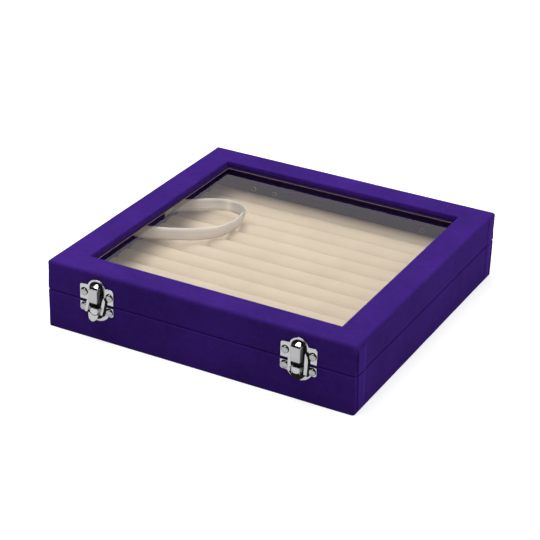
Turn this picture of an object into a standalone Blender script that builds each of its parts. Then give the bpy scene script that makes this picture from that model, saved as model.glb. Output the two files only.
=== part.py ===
"""A velvet ring box with a glass-topped lid.

Foam ring rolls fill the base. The lid has two hinges, two toggle latches and a ribbon stay.

Metres, +Z up, X to the right along the front, Y towards the back. The origin is the centre of the underside.
"""

import math

import bmesh
import bpy
from mathutils import Matrix, Vector

# Outer size of the closed box
SIDE = 0.233
BASE_HEIGHT = 0.0284
LID_HEIGHT = 0.0212
PARTING_GAP = 0.0004
RAIL_WIDTH = 0.0207

# Thickness of what the box is built from
VELVET = 0.0008
BOARD = 0.0025
RAIL_BOARD = 0.0033
LINING_CARD = 0.0006
UNDERSIDE_SHEET = 0.0006
GASKET_CARD = 0.0007
GLASS = 0.002
SEAT_GAP = 0.0003

# Rounded edges of the velvet and of the boards under it
EDGE_RADIUS = 0.002
RIM_RADIUS = 0.0005
EDGE_SEGMENTS = 3

# Card gasket that shows as a thin line round the pane
GASKET_SHOWING = 0.0005

# Ring rolls
ROLL_COUNT = 13
ROLL_DROP = 0.0054
ROLL_CROWN_SHARE = 0.457
ROLL_END_RADIUS = 0.0025
ROLL_CROWN_SEGMENTS = 6
LEDGE_SPACE = 0.0069
LEDGE_DROP = 0.003
LEDGE_RADIUS = 0.0015

# Rivets
SHANK_RADIUS = 0.0012
SHANK_CLEARANCE = 0.0003
HEAD_RADIUS = 0.00265
HEAD_HEIGHT = 0.0009
FLARE_RADIUS = 0.002
FLARE_HEIGHT = 0.0005
FLARE_BORE = 0.0009
FLARE_BORE_DEPTH = 0.0008
METAL_GAP = 0.00015
ROUND_STEPS = 16
DOME_STEPS = 4

# Hinges
HINGE_INSET = 0.0449
LEAF_WIDTH = 0.026
LEAF_HEIGHT = 0.0086
LEAF_THICKNESS = 0.0008
KNUCKLE_RADIUS = 0.00145
KNUCKLE_BORE = 0.0008
HINGE_PIN_RADIUS = 0.0006
CENTRE_KNUCKLE_WIDTH = 0.0084
KNUCKLE_GAP = 0.0003
LEAF_STEP_BACK = 0.0016
HINGE_RIVET_SPACING = 0.018
HINGE_RIVET_HEIGHT = 0.0046

# Latch plates, measured outwards from the front and up or down from the parting line
LATCH_INSET = 0.0399
PLATE_THICKNESS = 0.001
PLATE_HALF_WIDTH = 0.0132
PLATE_CORNER = 0.0016
PLATE_PARTING = 0.001
LID_EAR_TOP = 0.0124
BASE_EAR_BOTTOM = 0.0078
ARCH_RADIUS = 0.0072
LID_ARCH_TOP = 0.0176
BASE_ARCH_BOTTOM = 0.0134
ARCH_RIM = 0.0016
EAR_RISE = 0.0003
WINDOW_BOTTOM = 0.0046
LATCH_RIVET_INSET = 0.0033
LID_RIVET_HEIGHT = 0.0062
BASE_RIVET_DROP = 0.0048
ARC_STEPS = 12
EAR_STEPS = 3

# Nose on the lid plate
NOSE_HALF_WIDTH = 0.00215
NOSE_HALF_HEIGHT = 0.0026
NOSE_CENTRE = 0.0127
NOSE_REACH = 0.0042
NOSE_TAB_HALF_WIDTH = 0.0016
NOSE_RINGS = 8

# Lever and its pin
LEVER_PIN_DROP = 0.0033
LEVER_PIN_OUT = 0.0041
LEVER_PIN_RADIUS = 0.0006
PIN_CLEARANCE = 0.0003
LEVER_HALF_WIDTH = 0.00325
LEVER_WALL = 0.00065
LEVER_FACE_OUT = 0.006
LEVER_TOP_DROP = 0.0017
LEVER_END_DROP = 0.0074
LIP_HALF_WIDTH = 0.0029
LIP_TIP_DROP = 0.0117
LIP_TIP_OUT = 0.0082
LIP_ROOT_DROP = 0.0078
LIP_ROOT_OUT = 0.0036
LIP_THICKNESS = 0.0007
LIP_STEPS = 6
EYE_WALL = 0.0005

# Lugs of the base plate
LUG_THICKNESS = 0.0008
LUG_GAP = 0.0003
LUG_RADIUS = 0.0014
LUG_BORE = 0.00075

# Bail
BAIL_PIVOT_DROP = 0.0064
BAIL_STUD_RADIUS = 0.0006
BAIL_LEG_INNER = 0.00465
BAIL_LEG_OUTER = 0.0066
BAIL_LEG_DROP = 0.0075
BAIL_LEG_OUT = 0.0026
BAIL_LEAN = 0.085
BAIL_SHEET = 0.0008
BAIL_FOOT_INNER = 0.0026
BAIL_FOOT_BOTTOM = 0.0005
BAIL_FOOT_TOP = 0.0095
BAIL_FACE_OUT = 0.0066
BAIL_FACE_BOTTOM = 0.0001
BAIL_FACE_TOP = 0.0116
BAIL_WALL_ROOT = 0.0039
STUD_END = 0.0023

# Ribbon stay: plan route in shares of the inner half width, lid end first, base end last
RIBBON_WIDTH = 0.010
RIBBON_THICKNESS = 0.0005
RIBBON_LID_RISE_SHARE = 0.767
RIBBON_BASE_WIDTH = 0.0037
RIBBON_ROUTE_SHARES = (
    (-0.945, -0.155),
    (-0.832, -0.092),
    (-0.684, 0.028),
    (-0.603, 0.114),
    (-0.509, 0.272),
    (-0.473, 0.366),
    (-0.482, 0.445),
    (-0.527, 0.512),
    (-0.589, 0.552),
    (-0.652, 0.573),
    (-0.750, 0.576),
    (-0.848, 0.520),
    (-0.911, 0.442),
    (-0.964, 0.371),
)
RIBBON_LID_END_SHARE = -0.183
RIBBON_BASE_END_SHARE = 0.330
RIBBON_FALL_SHARE = 0.45
RIBBON_TAPER_SHARE = 0.06
ROUTE_STEPS = 3

# Worked out from the sizes above
HALF = SIDE / 2
LID_BOTTOM = BASE_HEIGHT + PARTING_GAP
HEIGHT = LID_BOTTOM + LID_HEIGHT
PARTING = (BASE_HEIGHT + LID_BOTTOM) / 2
SKIN = HALF - VELVET
BOARD_OUTER = SKIN - SEAT_GAP
BOARD_INNER = BOARD_OUTER - BOARD
LINING_OUTER = BOARD_INNER - SEAT_GAP
INNER = LINING_OUTER - LINING_CARD
BOARD_BOTTOM = UNDERSIDE_SHEET + SEAT_GAP
FLOOR_TOP = BOARD_BOTTOM + BOARD
BASE_BOARD_TOP = BASE_HEIGHT - VELVET - SEAT_GAP
ROLL_TOP = BASE_HEIGHT - ROLL_DROP
ROLL_PITCH = (2 * INNER - LEDGE_SPACE) / ROLL_COUNT
ROLL_CROWN_RADIUS = (ROLL_PITCH - SEAT_GAP) * ROLL_CROWN_SHARE
LID_BOARD_BOTTOM = LID_BOTTOM + VELVET + SEAT_GAP
RAIL_TOP = HEIGHT - VELVET - SEAT_GAP
RAIL_BOTTOM = RAIL_TOP - RAIL_BOARD
LID_WALL_TOP = RAIL_BOTTOM - SEAT_GAP
GASKET_TOP = RAIL_BOTTOM - SEAT_GAP
GASKET_BOTTOM = GASKET_TOP - GASKET_CARD
GLASS_TOP = GASKET_BOTTOM - SEAT_GAP
GLASS_BOTTOM = GLASS_TOP - GLASS
LINING_TOP = GLASS_BOTTOM - SEAT_GAP
RIBBON_REST = ROLL_TOP + SEAT_GAP
RIBBON_LID_RISE = (GLASS_BOTTOM - RIBBON_REST - RIBBON_WIDTH) * RIBBON_LID_RISE_SHARE
WINDOW = HALF - RAIL_WIDTH
RAIL_INNER = WINDOW + VELVET + SEAT_GAP
HINGE_OUT = METAL_GAP + KNUCKLE_RADIUS
WALL_THROUGH = HALF - INNER
HINGE_OFFSET = HALF - HINGE_INSET
LATCH_OFFSET = HALF - LATCH_INSET
LATCH_RIVET_OFFSET = PLATE_HALF_WIDTH - LATCH_RIVET_INSET
PLATE_OUT = METAL_GAP + PLATE_THICKNESS
LUG_INNER = LEVER_HALF_WIDTH + LUG_GAP
LUG_OUTER = LUG_INNER + LUG_THICKNESS
BAIL_PIVOT_OUT = BAIL_LEG_OUT + (BAIL_LEG_DROP - BAIL_PIVOT_DROP) * BAIL_LEAN + BAIL_SHEET / 2

# How far a cutter runs past what it cuts
OVERRUN = 0.002

# Points closer than this are one point
MERGE = 0.00001

FRONT = Matrix(((1, 0, 0), (0, 0, -1), (0, 1, 0))).to_4x4()
SIDEWAYS = Matrix(((0, 0, -1), (-1, 0, 0), (0, 1, 0))).to_4x4()
UPRIGHT = Matrix(((1, 0, 0), (0, -1, 0), (0, 0, -1))).to_4x4()


def clear_scene():
    for old in list(bpy.data.objects):
        bpy.data.objects.remove(old, do_unlink=True)


def new_collection(name):
    made = bpy.data.collections.new(name)
    bpy.context.scene.collection.children.link(made)
    return made


def finish_material(name, colour, roughness, metallic=0.0, transmission=0.0):
    made = bpy.data.materials.new(name)
    made.use_nodes = True
    shader = made.node_tree.nodes["Principled BSDF"]
    shader.inputs["Base Color"].default_value = (*colour, 1.0)
    shader.inputs["Roughness"].default_value = roughness
    shader.inputs["Metallic"].default_value = metallic
    shader.inputs["Transmission Weight"].default_value = transmission
    made.diffuse_color = (*colour, 1.0)
    return made


def purple_velvet():
    return finish_material("purple velvet", (0.055, 0.018, 0.2), 0.9)


def dark_lining():
    return finish_material("dark purple lining", (0.02, 0.007, 0.06), 0.95)


def fibreboard():
    return finish_material("fibreboard", (0.42, 0.29, 0.17), 0.8)


def brown_card():
    return finish_material("brown card", (0.25, 0.17, 0.1), 0.85)


def flocked_sheet():
    return finish_material("black flocked sheet", (0.02, 0.02, 0.025), 0.95)


def cream_suede():
    return finish_material("cream suede", (0.76, 0.66, 0.5), 0.9)


def clear_glass():
    return finish_material("clear glass", (0.95, 0.97, 0.96), 0.02, transmission=0.95)


def chrome():
    return finish_material("chrome", (0.8, 0.8, 0.8), 0.12, metallic=1.0)


def satin_ribbon():
    return finish_material("satin ribbon", (0.72, 0.69, 0.64), 0.35)


def add_piece(name, mesh, material, location=(0, 0, 0), smooth=True):
    """A visible piece of the box, with its own material."""
    obj = bpy.data.objects.new(name, mesh)
    obj.location = location
    mesh.materials.append(material)
    if smooth:
        mesh.shade_smooth()
        mesh.set_sharp_from_angle(angle=math.radians(35))
    PARTS.objects.link(obj)
    return obj


def add_helper(name, mesh, location=(0, 0, 0)):
    """A shape that cuts a piece or is joined to it, and isn't part of the box itself."""
    obj = bpy.data.objects.new(name, mesh)
    obj.location = location
    obj.hide_render = True
    obj.display_type = "WIRE"
    CUTTERS.objects.link(obj)
    return obj


def combine(obj, helper, operation):
    step = obj.modifiers.new(f"{operation.lower()} {helper.name}", "BOOLEAN")
    step.operation = operation
    step.solver = "EXACT"
    step.object = helper
    return obj


def cut(obj, helper):
    return combine(obj, helper, "DIFFERENCE")


def join(obj, helper):
    return combine(obj, helper, "UNION")


def carry(pieces, axis):
    """Parents pieces to an empty that sits on their joint's axis, leaving them where they are."""
    for piece in pieces:
        piece.parent = axis
        piece.matrix_parent_inverse = Matrix.Translation(-world_place(axis))


def world_place(empty):
    place = empty.location.copy()
    if empty.parent:
        place += world_place(empty.parent) + empty.matrix_parent_inverse.translation
    return place


def add_axis(name, location, parent=None):
    empty = bpy.data.objects.new(name, None)
    empty.empty_display_type = "SINGLE_ARROW"
    empty.empty_display_size = SIDE / 10
    empty.location = location
    PARTS.objects.link(empty)
    if parent:
        carry([empty], parent)
    return empty


def block_mesh(name, low, high):
    """A box between two corners, as a mesh round its own centre, and that centre."""
    low, high = Vector(low), Vector(high)
    bm = bmesh.new()
    bmesh.ops.create_cube(bm, size=1.0)
    bmesh.ops.transform(bm, matrix=Matrix.Diagonal((*(high - low), 1)), verts=bm.verts)
    mesh = bpy.data.meshes.new(name)
    bm.to_mesh(mesh)
    bm.free()
    return mesh, (low + high) / 2


def round_edges(mesh, radius, segments, wanted):
    """Rounds the edges whose two ends the function wanted picks."""
    bm = bmesh.new()
    bm.from_mesh(mesh)
    edges = [e for e in bm.edges if wanted(e.verts[0].co, e.verts[1].co)]
    bmesh.ops.bevel(
        bm, geom=edges, offset=radius, offset_type="OFFSET", segments=segments, profile=0.5, affect="EDGES"
    )
    bm.to_mesh(mesh)
    bm.free()


def is_vertical(a, b):
    return (a - b).xy.length < abs(a.z - b.z)


def is_top(a, b):
    return a.z > 0 and b.z > 0


def is_vertical_or_top(a, b):
    return is_vertical(a, b) or is_top(a, b)


def is_bottom(a, b):
    return a.z < 0 and b.z < 0


def block(name, low, high, material):
    mesh, centre = block_mesh(name, low, high)
    return add_piece(name, mesh, material, centre, smooth=False)


def block_helper(name, low, high):
    mesh, centre = block_mesh(name, low, high)
    return add_helper(name, mesh, centre)


def arc(centre_a, centre_b, radius, start, end, steps=ARC_STEPS):
    """Points on an arc, angles in degrees, both ends included."""
    turns = [math.radians(start + (end - start) * i / steps) for i in range(steps + 1)]
    return [(centre_a + radius * math.cos(t), centre_b + radius * math.sin(t)) for t in turns]


def outline_mesh(name, outline, thickness, turn, shift):
    """A flat outline given a thickness, centred on its plane, then turned and moved into place."""
    curve = bpy.data.curves.new(name, "CURVE")
    curve.dimensions = "2D"
    curve.fill_mode = "BOTH"
    curve.extrude = thickness / 2
    spline = curve.splines.new("POLY")
    spline.points.add(len(outline) - 1)
    for point, (a, b) in zip(spline.points, outline):
        point.co = (a, b, 0, 1)
    spline.use_cyclic_u = True
    flat = bpy.data.objects.new(name, curve)
    bpy.context.scene.collection.objects.link(flat)
    bpy.context.view_layer.update()
    graph = bpy.context.evaluated_depsgraph_get()
    mesh = bpy.data.meshes.new_from_object(flat.evaluated_get(graph))
    bpy.data.objects.remove(flat)
    bpy.data.curves.remove(curve)
    bm = bmesh.new()
    bm.from_mesh(mesh)
    bmesh.ops.remove_doubles(bm, verts=bm.verts, dist=MERGE)
    bmesh.ops.dissolve_limit(bm, angle_limit=math.radians(1), verts=bm.verts, edges=bm.edges)
    bmesh.ops.transform(bm, matrix=Matrix.Translation(shift) @ turn, verts=bm.verts)
    bmesh.ops.recalc_face_normals(bm, faces=bm.faces)
    bm.to_mesh(mesh)
    bm.free()
    return mesh


def rod_mesh(name, radius, length, turn, shift, steps=ROUND_STEPS):
    """A cylinder along its own Z, turned and moved into place."""
    bm = bmesh.new()
    bmesh.ops.create_cone(
        bm, cap_ends=True, segments=steps, radius1=radius, radius2=radius, depth=length
    )
    bmesh.ops.transform(bm, matrix=Matrix.Translation(shift) @ turn, verts=bm.verts)
    mesh = bpy.data.meshes.new(name)
    bm.to_mesh(mesh)
    bm.free()
    return mesh


def rods_helper(name, radius, length, turn, places):
    """Several equal cylinders in one cutter."""
    bm = bmesh.new()
    for place in places:
        rod = rod_mesh(name, radius, length, turn, place)
        bm.from_mesh(rod)
        bpy.data.meshes.remove(rod)
    mesh = bpy.data.meshes.new(name)
    bm.to_mesh(mesh)
    bm.free()
    return add_helper(name, mesh)


def ring_walls(body, bottom, top, material):
    """Four wall boards: front and back run the full width, left and right stand between them."""
    made = []
    for side, place in (("front", -1), ("back", 1)):
        near, far = sorted((place * BOARD_INNER, place * BOARD_OUTER))
        mesh, centre = block_mesh(
            f"{body}_{side}_board", (-BOARD_OUTER, near, bottom), (BOARD_OUTER, far, top)
        )
        round_edges(
            mesh,
            EDGE_RADIUS - VELVET - SEAT_GAP,
            EDGE_SEGMENTS,
            lambda a, b: is_vertical(a, b) and a.y * place > 0,
        )
        made.append(add_piece(f"{body}_{side}_board", mesh, material, centre, smooth=False))
    reach = BOARD_INNER - SEAT_GAP
    for side, place in (("left", -1), ("right", 1)):
        near, far = sorted((place * BOARD_INNER, place * BOARD_OUTER))
        made.append(
            block(f"{body}_{side}_board", (near, -reach, bottom), (far, reach, top), material)
        )
    return made


def square_ring(name, inner, outer, bottom, top, material):
    ring = block(name, (-outer, -outer, bottom), (outer, outer, top), material)
    hole = block_helper(
        f"{name} hole", (-inner, -inner, bottom - OVERRUN), (inner, inner, top + OVERRUN)
    )
    return cut(ring, hole)


def underside_sheet(material):
    mesh, centre = block_mesh(
        "underside_sheet", (-BOARD_OUTER, -BOARD_OUTER, 0), (BOARD_OUTER, BOARD_OUTER, UNDERSIDE_SHEET)
    )
    round_edges(mesh, EDGE_RADIUS - VELVET - SEAT_GAP, EDGE_SEGMENTS, is_vertical)
    return add_piece("underside_sheet", mesh, material, centre, smooth=False)


def base_velvet(material):
    """Skin over the four sides, with a rim turned in over the walls and the lining."""
    mesh, centre = block_mesh("base_velvet_cover", (-HALF, -HALF, SEAT_GAP), (HALF, HALF, BASE_HEIGHT))
    round_edges(mesh, EDGE_RADIUS, EDGE_SEGMENTS, is_vertical)
    round_edges(mesh, RIM_RADIUS, EDGE_SEGMENTS - 1, is_top)
    cover = add_piece("base_velvet_cover", mesh, material, centre, smooth=False)
    mesh, centre = block_mesh(
        "base cover inside", (-SKIN, -SKIN, SEAT_GAP - OVERRUN), (SKIN, SKIN, BASE_HEIGHT - VELVET)
    )
    round_edges(mesh, EDGE_RADIUS - VELVET, EDGE_SEGMENTS, is_vertical)
    cut(cover, add_helper("base cover inside", mesh, centre))
    opening = block_helper(
        "base cover opening", (-INNER, -INNER, SEAT_GAP), (INNER, INNER, BASE_HEIGHT + OVERRUN)
    )
    return cut(cover, opening)


def lid_velvet(material):
    """Skin over the frame and the four sides, turned in under the rim and down the window's edge."""
    mesh, centre = block_mesh("lid_velvet_cover", (-HALF, -HALF, LID_BOTTOM), (HALF, HALF, HEIGHT))
    round_edges(mesh, EDGE_RADIUS, EDGE_SEGMENTS, is_vertical_or_top)
    round_edges(mesh, RIM_RADIUS, EDGE_SEGMENTS - 1, is_bottom)
    cover = add_piece("lid_velvet_cover", mesh, material, centre, smooth=False)
    mesh, centre = block_mesh(
        "lid cover inside", (-SKIN, -SKIN, LID_BOTTOM + VELVET), (SKIN, SKIN, HEIGHT - VELVET)
    )
    round_edges(mesh, EDGE_RADIUS - VELVET, EDGE_SEGMENTS, is_vertical_or_top)
    hollow = add_helper("lid cover inside", mesh, centre)
    lip = WINDOW + VELVET
    post = block_helper(
        "lid window lip", (-lip, -lip, RAIL_BOTTOM), (lip, lip, HEIGHT + OVERRUN)
    )
    cut(hollow, post)
    cut(cover, hollow)
    window = block_helper(
        "lid window", (-WINDOW, -WINDOW, RAIL_BOTTOM - OVERRUN), (WINDOW, WINDOW, HEIGHT + OVERRUN)
    )
    cut(cover, window)
    opening = block_helper(
        "lid cover opening", (-INNER, -INNER, LID_BOTTOM - OVERRUN), (INNER, INNER, LID_BOTTOM + 2 * VELVET)
    )
    return cut(cover, opening)


def frame_rail(side, quarter_turns, material):
    """One of the four mitred rails round the window, widest along its outer edge."""
    mitre = SEAT_GAP / 2
    outline = [
        (-BOARD_OUTER + mitre, -BOARD_OUTER),
        (BOARD_OUTER - mitre, -BOARD_OUTER),
        (RAIL_INNER - mitre, -RAIL_INNER),
        (-RAIL_INNER + mitre, -RAIL_INNER),
    ]
    turn = Matrix.Rotation(math.radians(90 * quarter_turns), 4, "Z")
    name = f"lid_{side}_rail"
    mesh = outline_mesh(name, outline, RAIL_BOARD, turn, (0, 0, (RAIL_TOP + RAIL_BOTTOM) / 2))
    corner = EDGE_RADIUS - VELVET - SEAT_GAP
    bm = bmesh.new()
    bm.from_mesh(mesh)
    outward = turn @ Vector((0, -1, 0))
    beyond, above = (BOARD_OUTER + RAIL_INNER) / 2, (RAIL_TOP + RAIL_BOTTOM) / 2
    edge = [
        e for e in bm.edges if all(v.co.dot(outward) > beyond and v.co.z > above for v in e.verts)
    ]
    bmesh.ops.bevel(
        bm, geom=edge, offset=corner, offset_type="OFFSET", segments=EDGE_SEGMENTS, profile=0.5, affect="EDGES"
    )
    bm.to_mesh(mesh)
    bm.free()
    return add_piece(name, mesh, material, smooth=False)


def ring_roll(index, material):
    """A foam bar with a round crown; the first lies against the back wall."""
    back = INNER - SEAT_GAP - index * ROLL_PITCH
    front = back - (ROLL_PITCH - SEAT_GAP)
    reach = INNER - SEAT_GAP
    name = f"ring_roll_{index + 1:02d}"
    mesh, centre = block_mesh(name, (-reach, front, FLOOR_TOP + SEAT_GAP), (reach, back, ROLL_TOP))
    obj = add_piece(name, mesh, material, centre)
    weights = mesh.attributes.new("bevel_weight_edge", "FLOAT", "EDGE")
    for edge, weight in zip(mesh.edges, weights.data):
        a, b = (mesh.vertices[i].co for i in edge.vertices)
        if is_top(a, b):
            along = abs(a.x - b.x) > abs(a.y - b.y)
            weight.value = 1.0 if along else ROLL_END_RADIUS / ROLL_CROWN_RADIUS
    crown = obj.modifiers.new("crown", "BEVEL")
    crown.width = ROLL_CROWN_RADIUS
    crown.segments = ROLL_CROWN_SEGMENTS
    crown.limit_method = "WEIGHT"
    return obj


def front_ledge(material):
    """The narrow padded strip between the last roll and the front wall."""
    low = -INNER + SEAT_GAP
    high = INNER - ROLL_COUNT * ROLL_PITCH - SEAT_GAP
    reach = INNER - SEAT_GAP
    mesh, centre = block_mesh(
        "front_ledge", (-reach, low, FLOOR_TOP + SEAT_GAP), (reach, high, ROLL_TOP - LEDGE_DROP)
    )
    round_edges(mesh, LEDGE_RADIUS, EDGE_SEGMENTS, is_top)
    return add_piece("front_ledge", mesh, material, centre)


def rivet_mesh(name, head_from, head_height, flare_at, turn, shift):
    """A turned rivet along its own Z: domed head outside, flared and hollowed end inside the wall.

    The profile runs down its outer side from the top of the head to the bore of the flared end.
    """
    dome = [
        (HEAD_RADIUS * math.sin(t), head_from + head_height * math.cos(t))
        for t in (math.radians(90 * i / DOME_STEPS) for i in range(DOME_STEPS + 1))
    ]
    profile = dome + [
        (SHANK_RADIUS, head_from),
        (SHANK_RADIUS, flare_at),
        (FLARE_RADIUS, flare_at),
        (FLARE_RADIUS, flare_at - FLARE_HEIGHT),
        (FLARE_BORE, flare_at - FLARE_HEIGHT),
        (0, flare_at - FLARE_HEIGHT + FLARE_BORE_DEPTH),
    ]
    mesh = bpy.data.meshes.new(name)
    points = [(r, 0, z) for r, z in profile]
    mesh.from_pydata(points, [(i, i + 1) for i in range(len(points) - 1)], [])
    return spin(mesh, turn, shift)


def spin(profile, turn, shift):
    """The profile turned about Z by a Screw modifier, made a plain mesh and put in place."""
    obj = bpy.data.objects.new(profile.name, profile)
    bpy.context.scene.collection.objects.link(obj)
    screw = obj.modifiers.new("turned", "SCREW")
    screw.axis = "Z"
    screw.angle = math.radians(360)
    screw.steps = ROUND_STEPS
    screw.render_steps = ROUND_STEPS
    screw.use_merge_vertices = True
    screw.merge_threshold = MERGE
    bpy.context.view_layer.update()
    graph = bpy.context.evaluated_depsgraph_get()
    mesh = bpy.data.meshes.new_from_object(obj.evaluated_get(graph))
    bpy.data.objects.remove(obj)
    bm = bmesh.new()
    bm.from_mesh(mesh)
    bmesh.ops.remove_doubles(bm, verts=bm.verts, dist=MERGE)
    bmesh.ops.transform(bm, matrix=Matrix.Translation(shift) @ turn, verts=bm.verts)
    bmesh.ops.recalc_face_normals(bm, faces=bm.faces)
    bm.to_mesh(mesh)
    bm.free()
    return mesh


def hinge_x(side):
    return side * HINGE_OFFSET


def latch_x(side):
    return side * LATCH_OFFSET


def hinge_rivet_places(up):
    """Rivet centres of both hinges on one leaf: up is 1 for the lid's leaves and -1 for the base's."""
    return [
        (hinge_x(side) + end * HINGE_RIVET_SPACING / 2, HALF, PARTING + up * HINGE_RIVET_HEIGHT)
        for side in (-1, 1)
        for end in (-1, 1)
    ]


def latch_rivet_places(height):
    return [
        (latch_x(side) + end * LATCH_RIVET_OFFSET, -HALF, PARTING + height)
        for side in (-1, 1)
        for end in (-1, 1)
    ]


def rivet_holes(name, places):
    radius = SHANK_RADIUS + SHANK_CLEARANCE
    length = 2 * (WALL_THROUGH + OVERRUN)
    return rods_helper(name, radius, length, FRONT, places)


def hinge_leaf(name, side, up, material):
    """A leaf on the back with its knuckles round the pin and its two rivets through the wall."""
    x, y = hinge_x(side), HALF + HINGE_OUT
    edge = PARTING + up * LEAF_STEP_BACK
    far = PARTING + up * LEAF_HEIGHT
    near_back = HALF + METAL_GAP
    low, high = sorted((edge, far))
    leaf = block(
        name,
        (x - LEAF_WIDTH / 2, near_back, low),
        (x + LEAF_WIDTH / 2, near_back + LEAF_THICKNESS, high),
        material,
    )
    for start, end in knuckle_spans(up):
        tab_low, tab_high = sorted((PARTING, edge + up * LEAF_THICKNESS))
        tab = block_helper(
            f"{name} tab", (x + start, near_back, tab_low), (x + end, near_back + LEAF_THICKNESS, tab_high)
        )
        join(leaf, tab)
        knuckle = rod_mesh(f"{name} knuckle", KNUCKLE_RADIUS, end - start, SIDEWAYS, (0, 0, 0))
        join(leaf, add_helper(f"{name} knuckle", knuckle, (x + (start + end) / 2, y, PARTING)))
    bore = rod_mesh(f"{name} bore", KNUCKLE_BORE, LEAF_WIDTH + 2 * OVERRUN, SIDEWAYS, (0, 0, 0))
    cut(leaf, add_helper(f"{name} bore", bore, (x, y, PARTING)))
    backwards = Matrix.Rotation(math.pi, 4, "Z") @ FRONT
    for end in (-1, 1):
        rivet = rivet_mesh(
            f"{name} rivet",
            METAL_GAP + LEAF_THICKNESS / 2,
            LEAF_THICKNESS / 2 + HEAD_HEIGHT,
            -WALL_THROUGH - METAL_GAP,
            backwards,
            (0, 0, 0),
        )
        place = (x + end * HINGE_RIVET_SPACING / 2, HALF, PARTING + up * HINGE_RIVET_HEIGHT)
        join(leaf, add_helper(f"{name} rivet", rivet, place))
    return leaf


def knuckle_spans(up):
    """The lid's leaf has the centre knuckle, the base's leaf has one at each end."""
    centre = CENTRE_KNUCKLE_WIDTH / 2
    if up > 0:
        return [(-centre, centre)]
    return [(-LEAF_WIDTH / 2, -centre - KNUCKLE_GAP), (centre + KNUCKLE_GAP, LEAF_WIDTH / 2)]


def hinge_pin(name, side, material):
    mesh = rod_mesh(name, HINGE_PIN_RADIUS, LEAF_WIDTH, SIDEWAYS, (0, 0, 0))
    return add_piece(name, mesh, material, (hinge_x(side), HALF + HINGE_OUT, PARTING))


def latch_place(side):
    """Where a latch's own measures start: its centre line on the front, at the parting line."""
    return Vector((latch_x(side), -HALF, PARTING))


def ear_corner(across, height, out, up):
    """The rounded corner of an ear: out and up are 1 or -1."""
    start = {(1, 1): 90, (-1, 1): 180, (-1, -1): 270, (1, -1): 360}[(out, up)]
    centre = (out * (across - PLATE_CORNER), height - up * PLATE_CORNER)
    return arc(*centre, PLATE_CORNER, start, start - 90, EAR_STEPS)


def lid_plate_outline():
    centre = LID_ARCH_TOP - ARCH_RADIUS
    lean = math.degrees(math.asin((LID_EAR_TOP + EAR_RISE - centre) / ARCH_RADIUS))
    return (
        [(PLATE_HALF_WIDTH, PLATE_PARTING), (-PLATE_HALF_WIDTH, PLATE_PARTING)]
        + ear_corner(PLATE_HALF_WIDTH, LID_EAR_TOP, -1, 1)
        + arc(0, centre, ARCH_RADIUS, 180 - lean, lean)
        + ear_corner(PLATE_HALF_WIDTH, LID_EAR_TOP, 1, 1)
    )


def base_plate_outline():
    centre = -BASE_ARCH_BOTTOM + ARCH_RADIUS
    lean = math.degrees(math.asin((centre + BASE_EAR_BOTTOM + EAR_RISE) / ARCH_RADIUS))
    return (
        [(-PLATE_HALF_WIDTH, -PLATE_PARTING), (PLATE_HALF_WIDTH, -PLATE_PARTING)]
        + ear_corner(PLATE_HALF_WIDTH, -BASE_EAR_BOTTOM, 1, -1)
        + arc(0, centre, ARCH_RADIUS, -lean, lean - 180)
        + ear_corner(PLATE_HALF_WIDTH, -BASE_EAR_BOTTOM, -1, -1)
    )


def plate(name, outline, side, material):
    mesh = outline_mesh(name, outline, PLATE_THICKNESS, FRONT, (0, -METAL_GAP - PLATE_THICKNESS / 2, 0))
    return add_piece(name, mesh, material, latch_place(side))


def nose_mesh():
    """The dome that the bail hooks over, an ellipsoid whose back lies in the plate."""
    bm = bmesh.new()
    bmesh.ops.create_uvsphere(bm, u_segments=2 * NOSE_RINGS, v_segments=NOSE_RINGS, radius=1.0)
    root = METAL_GAP + PLATE_THICKNESS / 2
    scale = Matrix.Diagonal((NOSE_HALF_WIDTH, NOSE_REACH - root, NOSE_HALF_HEIGHT, 1))
    place = Matrix.Translation((0, -root, NOSE_CENTRE))
    bmesh.ops.transform(bm, matrix=place @ scale, verts=bm.verts)
    back = [v for v in bm.verts if v.co.y > -METAL_GAP - PLATE_THICKNESS / 4]
    for vert in back:
        vert.co.y = -METAL_GAP - PLATE_THICKNESS / 4
    mesh = bpy.data.meshes.new("nose")
    bm.to_mesh(mesh)
    bm.free()
    return mesh


def lid_plate(name, side, material):
    obj = plate(name, lid_plate_outline(), side, material)
    place = latch_place(side)
    radius = ARCH_RADIUS - ARCH_RIM
    window = [(-radius, WINDOW_BOTTOM), (radius, WINDOW_BOTTOM)]
    window += arc(0, LID_ARCH_TOP - ARCH_RADIUS, radius, 0, 180)
    mid = (0, -METAL_GAP - PLATE_THICKNESS / 2, 0)
    hole = outline_mesh(f"{name} window", window, PLATE_THICKNESS + 2 * OVERRUN, FRONT, mid)
    cut(obj, add_helper(f"{name} window", hole, place))
    half, top = NOSE_TAB_HALF_WIDTH, NOSE_CENTRE
    tab_outline = [(-half, PLATE_PARTING), (half, PLATE_PARTING), (half, top), (-half, top)]
    tab = outline_mesh(f"{name} tab", tab_outline, PLATE_THICKNESS, FRONT, mid)
    join(obj, add_helper(f"{name} tab", tab, place))
    join(obj, add_helper(f"{name} nose", nose_mesh(), place))
    return obj


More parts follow.
